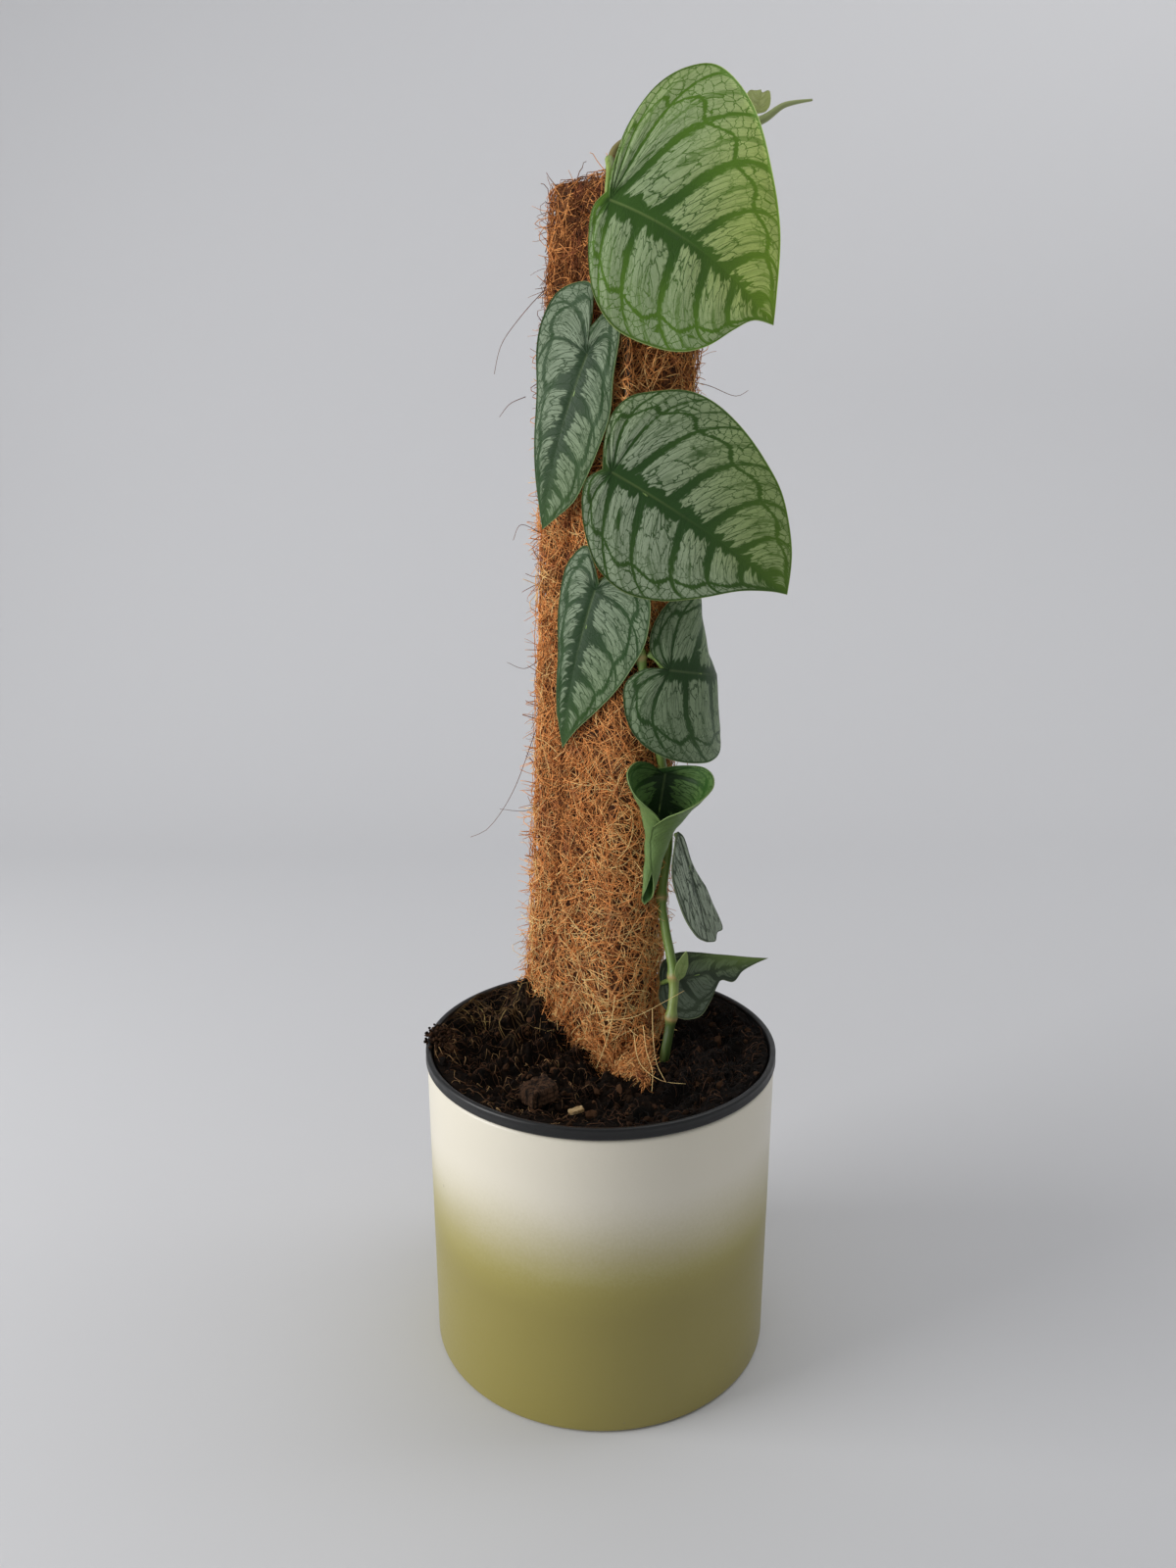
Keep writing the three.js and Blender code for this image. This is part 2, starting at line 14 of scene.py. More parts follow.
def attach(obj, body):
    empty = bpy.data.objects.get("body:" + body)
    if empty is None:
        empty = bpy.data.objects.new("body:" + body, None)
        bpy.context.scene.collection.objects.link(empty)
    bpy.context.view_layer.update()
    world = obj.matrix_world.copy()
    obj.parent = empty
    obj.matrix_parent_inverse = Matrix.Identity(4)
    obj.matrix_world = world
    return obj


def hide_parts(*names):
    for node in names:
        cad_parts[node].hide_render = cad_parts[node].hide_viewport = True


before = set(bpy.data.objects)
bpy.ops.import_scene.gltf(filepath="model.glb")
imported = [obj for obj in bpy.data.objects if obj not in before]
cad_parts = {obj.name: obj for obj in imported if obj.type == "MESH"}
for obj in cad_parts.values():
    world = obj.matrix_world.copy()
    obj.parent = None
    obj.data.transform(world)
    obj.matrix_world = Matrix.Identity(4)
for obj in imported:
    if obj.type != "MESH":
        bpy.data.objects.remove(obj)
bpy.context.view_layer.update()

MM = 0.001
TURN = 2 * math.pi

# Sizes shared with the CAD source. The pole's bottom is its own here, just under the soil
CACHEPOT_HEIGHT, CACHEPOT_TOP, CACHEPOT_FOOT = 131, 74.3, 73.2
CACHEPOT_FOOT_ROUND, CACHEPOT_FLOOR = 2, 8
RIM_RADIUS, RIM_TOP, RIM_LIP = 75, 136.3, 2.6
BODY_TOP_RADIUS, BODY_FOOT_RADIUS = 68.6, 58
NURSERY_FOOT, NURSERY_WALL, POT_GAP = 12, 1.2, 0.3
SOIL_LEVEL, SOIL_BRIM, SOIL_BRIM_FROM = 131.5, 3.6, 52
# Rises and hollows of the soil: x, y, reach and height
SOIL_BUMPS = [(4, -5, 13, -10), (-33, 37, 13, 13), (-23, 24, 11, 8), (42, -14, 18, 3), (26, 4, 9, -4)]
POLE = {"length": 62, "width": 34, "corner": 13, "turn": math.radians(40), "bottom": 114, "top": 482,
        "lean": 0.0389, "x": -2.2, "y": 32, "z": 177, "seam": 9, "seam_step": 1.6}
# How far the pole's skin stands out from its section at each height
POLE_LEVELS = [82, 128, 136, 150, 190, 240, 290, 340, 390, 440, 479, 482]
POLE_FLARE = [-0.4, 2.1, 2, 0.6, 0, -0.3, 0, 0.2, 0.2, 0.5, 0.8, -0.8]

# Sizes of the scene alone. The solid blades are 0.8 thick
BLADE_THICKNESS = 0.55
CACHEPOT_RIM_ROUND, NURSERY_RIM_ROUND = 1.6, 1.3
SOIL_RADIUS, SOIL_UNDERSIDE, SOIL_TAPER = 71.7, 122.0, 0.93
# Where soil and crumbs hang over the nursery pot's left rim
OVERHANG_X, OVERHANG_Y = -71, 2
BLADE_ROOM, FLYAWAY_ROOM = 1.0, 1.6

STEM_PATH = [
    (25.4, -2.4, 118), (26.9, -6.9, 128), (30.1, -5, 148.5), (31.2, 0, 165.2), (27.8, 7.6, 184),
    (26.4, 12.2, 197), (28.9, 13.6, 220), (26.8, 9, 247), (20.3, 2.2, 281), (15, 0.6, 306),
    (12.3, 1, 344), (10.9, 1.8, 374), (10, 2.8, 402), (9, 4, 428), (5.6, 7.6, 458), (3, 10, 478),
    (6, 14, 490), (22, 17.5, 495), (45, 17, 497), (58.6, 16, 499.3), (67, 14.6, 504), (77.2, 14, 505.6),
]
# Radius at the foot, from three quarters up, and at the tip. The solid's are 2.5, 1.7 and 0.45
STEM_RADII = (2.1, 1.6)
STEM_TIP = 0.4
STEM_NODES = [148.5, 165.2, 197, 236, 302, 331, 366, 424]

# Blades: flat outlines from sinus to tip on each side, bent like the CAD source's. ribs are the shares of
# the margin that each side vein points to, band the green half width beside the midrib at base and tip.
LEAVES = {
    "leaf_1": {
        "junction": (2.8, 1.5, 469.1), "along": (0.803, -0.192, -0.564), "facing": (-0.12, -0.98, 0.16),
        "arch": 0.004, "cup": -0.002, "tip": (75, 0), "sinus": (-3, 2),
        "plus": [(-6, 9), (-10, 24), (-9, 40), (-2.5, 52), (7.5, 58), (24, 54), (41, 42), (57, 27), (70, 8)],
        "minus": [(-4, -5), (-1, -12), (6, -22), (15, -31), (28, -36), (43, -33), (53, -28),
                  (59.5, -20.5), (64, -10), (68, -3)],
        "petiole": [(2.4, 9, 484.5), (2.4, 5, 479.5)],
        "look": "young", "bow": 4.5, "band": (5.0, 1.5), "fan": (0.42, 0.22),
        "ribs": ((0.08, 0.19, 0.31, 0.43, 0.55, 0.67, 0.79, 0.9), (0.1, 0.24, 0.38, 0.52, 0.65, 0.78, 0.9)),
    },
    "leaf_2": {
        "junction": (-5.8, 6.2, 416.2), "along": (-0.347, 0.123, -0.93), "facing": (-0.49, -0.87, 0.05),
        "arch": 0.005, "cup": 0.003, "tip": (71, 0), "sinus": (-8, -3),
        "plus": [(-13, -1), (-19, 2), (-17, 7), (-9, 11), (4, 14), (18, 17.5), (32, 17), (43, 15), (54, 12),
                 (63, 6)],
        "minus": [(-15, -4), (-24, -9), (-22, -17), (-16, -23), (-6, -24.5), (5, -22.5), (20, -17),
                  (37, -12), (54, -7)],
        "petiole": [(6.9, 4.9, 424.5), (2.5, 7.2, 425.5), (-2.5, 9, 422)],
        "look": "left", "bow": -1.0, "band": (3.4, 2.0), "fan": (0.3, 0.4),
        "ribs": ((0.14, 0.32, 0.48, 0.64, 0.8, 0.92), (0.16, 0.34, 0.5, 0.66, 0.8, 0.92)),
    },
    "leaf_3": {
        "junction": (3.9, -6.9, 372.7), "along": (0.839, -0.024, -0.544), "facing": (0.05, -0.99, 0.12),
        "arch": 0.003, "cup": 0.002, "tip": (84, 0), "sinus": (-4, -1),
        "plus": [(-9, 8), (-12, 18), (-10, 27), (-3, 34), (7, 41), (18, 43.5), (31, 42), (46, 37),
                 (61, 29.5), (75, 15.5)],
        "minus": [(-7, -8), (-3, -17), (5, -26), (15, -33), (28, -35), (42, -30), (54, -21), (66, -10),
                  (77, -3)],
        "petiole": [(9.7, -1.4, 366), (7.4, -3.8, 367.5)], "petiole_radius": 1.5,
        "look": "middle", "bow": 1.5, "band": (4.3, 1.6), "fan": (0.36, 0.24),
        "ribs": ((0.08, 0.18, 0.3, 0.42, 0.54, 0.67, 0.79, 0.9), (0.12, 0.26, 0.4, 0.53, 0.66, 0.79, 0.91)),
    },
    "leaf_4": {
        "junction": (-2.7, 3, 327.6), "along": (-0.226, 0.187, -0.956), "facing": (-0.5, -0.86, -0.05),
        "arch": 0.002, "cup": 0.006, "tip": (71, 0), "sinus": (-3, 1),
        "plus": [(-10, 5), (-12, 13), (-8, 21), (0, 25), (13, 26), (25, 23), (36, 19), (47, 13), (60, 5)],
        "minus": [(-10, -3), (-16, -8), (-11, -13), (-2, -16), (15, -14), (29, -11), (44, -8), (58, -5)],
        "petiole": [(9.9, 1.4, 330), (5, 2, 332.5), (0, 4.6, 331.5)],
        "look": "left", "bow": -1.5, "band": (4.0, 2.0), "fan": (0.34, 0.3),
        "ribs": ((0.12, 0.32, 0.5, 0.66, 0.8, 0.92), (0.16, 0.36, 0.54, 0.7, 0.84, 0.94)),
    },
    "leaf_5": {
        "junction": (27.4, -1.5, 296.7), "along": (0.94, 0.29, -0.16), "facing": (0.3, -0.95, 0.05),
        "arch": 0.032, "growth": (0.042, 0.009), "cup": 0.002, "tip": (56, 0), "sinus": (-3, 0.5),
        "plus": [(-9, 6), (-10, 14), (-7, 23), (-1, 30), (8, 34), (20, 33), (33, 27), (45, 16)],
        "minus": [(-11, -1), (-17, -7), (-17, -15), (-13, -25), (-5, -32), (7, -36), (21, -37), (34, -36),
                  (46, -31), (54, -18)],
        "petiole": [(18.6, -0.9, 303.5), (21.6, -0.6, 301.5)],
        "look": "dark", "band": (4.6, 2.4), "fan": (0.36, 0.36),
        "ribs": ((0.12, 0.3, 0.48, 0.64, 0.8, 0.92), (0.12, 0.28, 0.46, 0.62, 0.78, 0.92)),
    },
    "leaf_6": {
        "junction": (26.2, 1, 253.5), "along": (-0.15, -0.073, -0.98), "facing": (0, -1, 0.07),
        "arch": -0.002, "tip": (55, 0), "sinus": (-2, -3.5), "overlap": 1.2,
        "rolled": [(-8, 18.5), (0, 17), (8, 12.5), (14, 9), (20, 6.2), (27, 4.2), (34, 3.3), (45, 2.1),
                   (55, 0.8)],
        "plus": [(-5, 7), (-6, 17), (-2, 26.5), (5, 30), (13, 30.5), (20, 26), (27, 20), (34, 15.5),
                 (45, 8.5), (51, 4)],
        "minus": [(-4, -8), (-4, -15), (0, -22), (7, -24), (13, -25), (20, -21.5), (27, -16), (34, -12),
                  (45, -6.5), (51, -3)],
        "petiole": [(26.6, 7.7, 235), (26.6, 4.8, 244)],
        "look": "rolled", "band": (4.5, 2.4), "fan": (0.3, 0.3),
        "ribs": ((0.12, 0.3, 0.48, 0.64, 0.8, 0.92), (0.14, 0.32, 0.5, 0.66, 0.8, 0.92)),
    },
    "leaf_7": {
        "junction": (33.2, 10, 224.5), "along": (0.325, -0.02, -0.946), "facing": (0.84, -0.5, 0.2),
        "arch": 0.002, "cup": 0.008, "tip": (49, -2), "sinus": (-2, 0),
        "plus": [(2, 2.5), (14, 3.5), (22, 5.5), (31, 10), (44, 13.5), (51, 15), (50, 9), (52, 5)],
        "minus": [(2, -6), (8, -12), (20, -15.5), (31, -14), (42, -10)],
        "petiole": [(32.4, 12.2, 215.5), (33.5, 12.2, 220)], "petiole_radius": 1.1,
        "look": "hanging", "band": (1.0, 0.6), "fan": (0.1, 0.1), "lengthwise": True,
        "ribs": ((0.2, 0.4, 0.6, 0.8), (0.2, 0.4, 0.6, 0.8)),
    },
    "leaf_8": {
        "junction": (28, 10.5, 157.5), "along": (0.97, 0.16, 0.18), "facing": (0.05, -0.86, 0.5),
        "arch": 0.002, "cup": 0.004, "tip": (48, 0), "sinus": (-2, 0),
        "plus": [(-1, 5), (2, 9.5), (9, 11.5), (18, 9.5), (27, 6.5), (38, 3)],
        "minus": [(-4, -6), (-2, -12), (4, -17), (11.5, -17.5), (17, -13), (22, -7), (25, -4.6),
                  (30, -6.5), (35, -3), (42, -1)],
        "petiole": [(30.8, 1.9, 161.2), (29.6, 6, 160.6)], "petiole_radius": 1.1,
        "look": "slate", "band": (1.0, 0.8), "fan": (0.2, 0.2),
        "ribs": ((0.16, 0.36, 0.56, 0.76, 0.92), (0.16, 0.36, 0.56, 0.76, 0.92)),
    },
    "new_leaf": {
        "junction": (57.4, 15, 502.4), "along": (0.1, 0, 1), "facing": (0.2, -1, 0),
        "arch": 0.01, "cup": -0.03, "tip": (7, -0.2), "sinus": (-1.2, 0.4), "grid": (24, 8),
        "plus": [(0.5, 3), (4, 5), (6, 4.2), (6.4, 1.8)],
        "minus": [(0, -2.9), (2.6, -4.3), (6.6, -3.8), (7, -2.4), (5.9, -1)],
        "look": "bud", "band": (0.5, 0.3), "fan": (0.2, 0.2),
        "ribs": ((0.3, 0.6, 0.9), (0.3, 0.6, 0.9)),
    },
    "bract": {
        "junction": (33.2, -3.2, 165.6), "along": (0.28, 0.12, 0.95), "facing": (0.5, -0.86, 0),
        "arch": 0.01, "cup": 0.1, "tip": (12, 0), "sinus": (-1, 0), "grid": (24, 8),
        "plus": [(1, 2.4), (5, 3.2), (9, 1.8)],
        "minus": [(1, -2.4), (5, -3.2), (9, -1.8)],
        "look": "sheath", "band": (0.5, 0.3), "fan": (0.2, 0.2),
        "ribs": ((0.3, 0.6, 0.9), (0.3, 0.6, 0.9)),
    },
}
# What a blade has unless its entry above says otherwise
USUAL_BLADE = {"grid": (80, 20), "growth": (0, 0), "bow": 0.0, "lengthwise": False, "rolled": None,
               "petiole": None, "petiole_radius": 1.3}
LEAVES = {name: {**USUAL_BLADE, "seed": seed, **leaf}
          for seed, (name, leaf) in enumerate(LEAVES.items(), 1)}

LEAF_SLOT = {"leaf_1": "young_leaf", "new_leaf": "young_leaf", "bract": "young_leaf"}

# Leaf colours, as 0-255 screen values: green near the midrib, green outside, green at the tip, silver
# near the base, silver at the tip, underside, rim
LOOKS = {
    "young": ((60, 94, 34), (90, 128, 40), (112, 146, 42), (165, 184, 139), (184, 202, 112),
              (140, 168, 90), (190, 208, 130)),
    "middle": ((48, 80, 34), (60, 92, 36), (84, 116, 38), (166, 182, 150), (158, 178, 114),
               (128, 156, 88), (158, 176, 108)),
    "dark": ((42, 70, 32), (50, 80, 36), (56, 86, 34), (138, 156, 122), (132, 152, 112),
             (108, 136, 76), (146, 162, 112)),
    # left is the dark look made darker as painted shade, for the blades that face the key light
    "left": ((34, 60, 28), (42, 72, 32), (50, 80, 32), (134, 150, 123), (126, 144, 110),
             (96, 124, 68), (128, 146, 96)),
    "rolled": ((26, 50, 18), (50, 86, 34), (60, 96, 40), (88, 120, 62), (100, 130, 76),
               (108, 134, 76), (150, 172, 108)),
    "hanging": ((46, 60, 42), (54, 68, 46), (58, 72, 48), (162, 174, 152), (150, 162, 140),
                (104, 122, 80), (132, 144, 110)),
    "slate": ((46, 58, 42), (54, 66, 48), (104, 126, 66), (96, 108, 90), (110, 130, 84),
              (112, 132, 84), (118, 130, 94)),
    # bud is a young leaf's pale yellow-green, made paler still as painted light, since the new blade gets
    # only grazing light
    "bud": ((196, 206, 128), (204, 214, 136), (208, 218, 142), (214, 222, 150), (216, 224, 154),
            (194, 204, 130), (216, 224, 158)),
    "sheath": ((128, 150, 82), (136, 158, 90), (142, 162, 94), (150, 168, 102), (152, 170, 106),
               (132, 152, 86), (158, 174, 112)),
}

# The stem's colours by height in metres: from, to, share below, share above, colour
STEM_TINTS = [
    (0.1495, 0.151, 0.0, 0.65, (138, 152, 78)), (0.163, 0.168, 0.0, 0.6, (104, 136, 60)),
    # From 0.31 to 0.35 the stem turns dark brown up to 0.46, behind the upper leaves: coir colour over it,
    # and painted shade
    (0.144, 0.149, 0.75, 0.0, (54, 72, 30)), (0.31, 0.35, 0.0, 1.0, (58, 44, 24)),
    (0.46, 0.475, 0.0, 1.0, (128, 118, 62)),
]

# The long stray hairs, near those of the photo
LONG_ENDS = [
    [(-22, 12, 440), (-30, 8, 431), (-38, 5, 420), (-41, 4, 409)],
    [(-30, 20, 402), (-36, 16, 399), (-40, 14, 394)],
    [(-27, 12, 270), (-36, 6, 246), (-46, 2, 231), (-54, 0, 227)],
    [(-26, 12, 238), (-32, 8, 236), (-42, 4, 238)],
    [(-24, 12, 300), (-31, 8, 296), (-38, 5, 299)],
    [(34, 22, 408), (42, 18, 406), (52, 16, 402), (57, 15, 404)],
    [(36, 20, 400), (44, 16, 391), (50, 15, 394)],
    [(-25, 14, 350), (-32, 10, 353), (-35, 8, 347)],
    [(6, -8, 160), (4, -13, 148), (1, -15, 138), (-2, -17, 131)],
    [(2, -9, 149), (14, -12, 152), (26, -11, 158), (35, -8, 162)],
    [(22, -4, 152), (22, -12, 143), (23, -22, 136), (26, -34, 134)],
    [(18, -8, 146), (19, -17, 139), (21, -27, 135), (20, -42, 134)],
    [(14, -10, 143), (16, -22, 136), (24, -33, 134), (34, -36, 134)],
]
# Those that start below this height are pale
LONG_ENDS_FOOT = 170

# Flakes on the soil: piece, slot, node, place, size, turn, and what bark_paint takes
FLAKES = [
    ("bark_flake", "bark", "bark_chip", (-25, -47, 133.0), (12.6, 11.4, 6.8), 0.6,
     ("bark", (20, 14, 10), (96, 69, 50), 700)),
    ("wood_flake", "wood_chip", "wood_chip", (-10, -58.5, 134.2), (5.6, 3, 1.3), 0.35,
     ("torn_wood", (140, 112, 74), (206, 180, 136), 420)),
]

# Directions that the fibres of a piece seldom follow, which keep their sections from twisting
POLE_GUIDE, FOOT_GUIDE, SOIL_GUIDE = (0.2, 0.3, 1.0), (0.8, 0.3, 0.2), (0.3, 0.2, 1.0)


def linear(colour):
    """A 0-255 screen colour as the linear RGBA that shaders take."""
    parts = [c / 255 for c in colour]
    return [c / 12.92 if c <= 0.04045 else ((c + 0.055) / 1.055) ** 2.4 for c in parts] + [1.0]


# Meshes
class Shape:
    """Gathers points, faces and per-point marks, and makes one object of them."""

    def __init__(self):
        self.points, self.faces, self.slots, self.marks = [], [], [], {}
        self.count = 0

    def add(self, points, faces, slot=0, **marks):
        points = np.asarray(points, float).reshape(-1, 3)
        for name, values in marks.items():
            values = np.asarray(values, float)
            width = 3 if values.ndim == 2 else 1
            kept = self.marks.setdefault(name, (width, []))[1]
            kept.append((self.count, values))
        self.points.append(points)
        self.faces.extend((np.asarray(face) + self.count).tolist() for face in faces)
        self.slots.extend(slot for block in faces for _ in range(len(block)))
        self.count += len(points)

    def build(self, name, materials, weld=0.0, smooth=True):
        points = np.concatenate(self.points) * MM
        faces = [face for block in self.faces for face in block]
        mesh = bpy.data.meshes.new(name)
        mesh.from_pydata(points.tolist(), [], faces)
        for material in materials:
            mesh.materials.append(material)
        mesh.polygons.foreach_set("material_index", self.slots)
        mesh.polygons.foreach_set("use_smooth", [smooth] * len(faces))
        for mark, (width, blocks) in self.marks.items():
            values = np.zeros((self.count, 3) if width == 3 else self.count)
            for start, block in blocks:
                values[start:start + len(block)] = block
            kind = "FLOAT_VECTOR" if width == 3 else "FLOAT"
            layer = mesh.attributes.new(mark, kind, "POINT")
            layer.data.foreach_set("vector" if width == 3 else "value", values.astype(np.float32).ravel())
        if weld:
            work = bmesh.new()
            work.from_mesh(mesh)
            bmesh.ops.remove_doubles(work, verts=work.verts, dist=weld * MM)
            work.to_mesh(mesh)
            work.free()
        mesh.update()
        made = bpy.data.objects.new(name, mesh)
        bpy.context.collection.objects.link(made)
        return made


def one_piece(name, points, faces, material, smooth=True, **marks):
    shape = Shape()
    shape.add(points, faces, **marks)
    return shape.build(name, [material], smooth=smooth)


def ring_faces(rows, count, flipped=False):
    """Quads between closed rings of points, with a cap on the first ring and on the last."""
    i, j = np.meshgrid(np.arange(rows - 1), np.arange(count), indexing="ij")
    a, b = (i * count + j).ravel(), (i * count + (j + 1) % count).ravel()
    quads = np.stack([a, b, b + count, a + count], axis=1)
    first, last = np.arange(count)[None, ::-1], np.arange(count)[None] + (rows - 1) * count
    return [quads[:, [0, 3, 2, 1]], first[:, ::-1], last[:, ::-1]] if flipped else [quads, first, last]


def resampled(points, count):
    points = np.asarray(points, float)
    steps = np.linalg.norm(np.diff(points, axis=0), axis=1)
    length = np.concatenate([[0], np.cumsum(steps)])
    at = np.linspace(0, length[-1], count)
    return np.stack([np.interp(at, length, points[:, k]) for k in range(points.shape[1])], axis=1)


def smooth_curve(points, count):
    """A uniform Catmull-Rom curve through the points, evenly spaced."""
    points = np.asarray(points, float)
    last = len(points) - 1
    t = np.linspace(0, last, 40 * last + 1)
    i = np.minimum(t.astype(int), last - 1)
    w = (t - i)[:, None]
    p0, p1, p2, p3 = points[np.maximum(i - 1, 0)], points[i], points[i + 1], points[np.minimum(i + 2, last)]
    v0, v1 = (p2 - p0) / 2, (p3 - p1) / 2
    dense = (2 * p1 - 2 * p2 + v0 + v1) * w**3 + (3 * p2 - 3 * p1 - 2 * v0 - v1) * w**2 + v0 * w + p1
    return resampled(dense, count)


def unit(vectors):
    return vectors / np.maximum(np.linalg.norm(vectors, axis=-1, keepdims=True), 1e-9)


def tubes(paths, radii, sides, guide):
    """Closed tubes along paths (n, k, 3) with radii (n, k). guide keeps each section from twisting."""
    count, steps = paths.shape[:2]
    tangent = unit(np.gradient(paths, axis=1))
    out = unit(np.cross(tangent, np.broadcast_to(guide, paths.shape)))
    up = np.cross(out, tangent)
    angle = TURN * np.arange(sides) / sides
    ring = (out[:, :, None] * np.cos(angle)[:, None] + up[:, :, None] * np.sin(angle)[:, None])
    points = (paths[:, :, None] + ring * radii[:, :, None, None]).reshape(-1, 3)
    first = (np.arange(count) * steps * sides)[:, None, None]
    row = (np.arange(steps - 1) * sides)[None, :, None]
    side = np.arange(sides)[None, None, :]
    after = (side + 1) % sides
    quads = np.stack([first + row + side, first + row + after, first + row + sides + after,
                      first + row + sides + side], axis=-1).reshape(-1, 4)
    base = (np.arange(count) * steps * sides)[:, None]
    start = base + np.arange(sides)[None, ::-1]
    end = base + (steps - 1) * sides + np.arange(sides)[None]
    return points, [quads[:, ::-1], start[:, ::-1], end[:, ::-1]]


def ride(piece, slot, *nodes):
    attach(piece, "root")
    if nodes:
        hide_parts(*nodes)
    return piece


# Materials
class Paint:
    """A material and short ways to add nodes to it. Sockets or plain values go in, a socket comes out.

    A tuple is a 0-255 screen colour.
    """

    def __init__(self, name, **shader):
        self.material = bpy.data.materials.new(name)
        self.material.use_nodes = True
        self.tree = self.material.node_tree
        self.shader = self.tree.nodes["Principled BSDF"]
        self.set(**shader)

    def set(self, **inputs):
        for name, value in inputs.items():
            self.feed(self.shader.inputs[name.replace("_", " ")], value)

    def feed(self, socket, value):
        if isinstance(value, bpy.types.NodeSocket):
            self.tree.links.new(value, socket)
        else:
            socket.default_value = linear(value) if isinstance(value, tuple) else value

    def node(self, kind, inputs, **settings):
        made = self.tree.nodes.new(kind)
        for name, value in settings.items():
            setattr(made, name, value)
        for name, value in inputs.items():
            self.feed(made.inputs[name], value)
        return made

    def value(self, name, output="Fac"):
        """A per-point mark of one part."""
        return self.node("ShaderNodeAttribute", {}, attribute_name=name).outputs[output]

    def parts(self, vector):
        return tuple(self.node("ShaderNodeSeparateXYZ", {0: vector}).outputs)

    def mark(self, name):
        """The three parts of a per-point mark."""
        return self.parts(self.value(name, "Vector"))

    def spot(self):
        """Where a point lies on the object, in metres."""
        return self.node("ShaderNodeTexCoord", {}).outputs["Object"]

    def place(self):
        return self.parts(self.spot())

    def vector(self, *parts):
        return self.node("ShaderNodeCombineXYZ", dict(enumerate(parts))).outputs[0]

    def stretched(self, across, up):
        """The place on the object with x and y scaled by one number and z by another."""
        x, y, z = self.place()
        return self.vector(self.times(x, across), self.times(y, across), self.times(z, up))

    def math(self, operation, *values):
        return self.node("ShaderNodeMath", dict(enumerate(values)), operation=operation).outputs[0]

    def add(self, a, b, share=None):
        """a + b, or a + b * share."""
        return self.math("ADD", a, b if share is None else self.times(b, share))

    def less(self, a, b):
        return self.math("SUBTRACT", a, b)

    def times(self, a, b):
        return self.math("MULTIPLY", a, b)

    def fade(self, value, low, high, start=0.0, end=1.0):
        """start below low, end above high, smooth between."""
        inputs = {"Value": value, "From Min": low, "From Max": high, "To Min": start, "To Max": end}
        return self.node("ShaderNodeMapRange", inputs, interpolation_type="SMOOTHSTEP").outputs[0]

    def mix(self, share, a, b):
        return self.node("ShaderNodeMix", {"Factor": share, 6: a, 7: b}, data_type="RGBA").outputs[2]

    def tint(self, colour, other, value, low, high, start=0.0, end=1.0):
        """The first colour, turned into the other by the share that fade gives."""
        return self.mix(self.fade(value, low, high, start, end), colour, other)

    def noise(self, where=None, scale=1.0, detail=2.0, rough=0.5, bent=0.0):
        """Noise about zero, from -0.5 to 0.5."""
        inputs = {"Vector": self.spot() if where is None else where, "Scale": scale, "Detail": detail,
                  "Roughness": rough, "Distortion": bent}
        return self.less(self.node("ShaderNodeTexNoise", inputs).outputs["Fac"], 0.5)

    def cells(self, where=None, scale=1.0, feature="DISTANCE_TO_EDGE"):
        inputs = {"Vector": self.spot() if where is None else where, "Scale": scale}
        return self.node("ShaderNodeTexVoronoi", inputs, feature=feature).outputs[0]

    def relief(self, height, distance, strength=1.0):
        inputs = {"Height": height, "Distance": distance, "Strength": strength}
        self.feed(self.shader.inputs["Normal"], self.node("ShaderNodeBump", inputs).outputs[0])


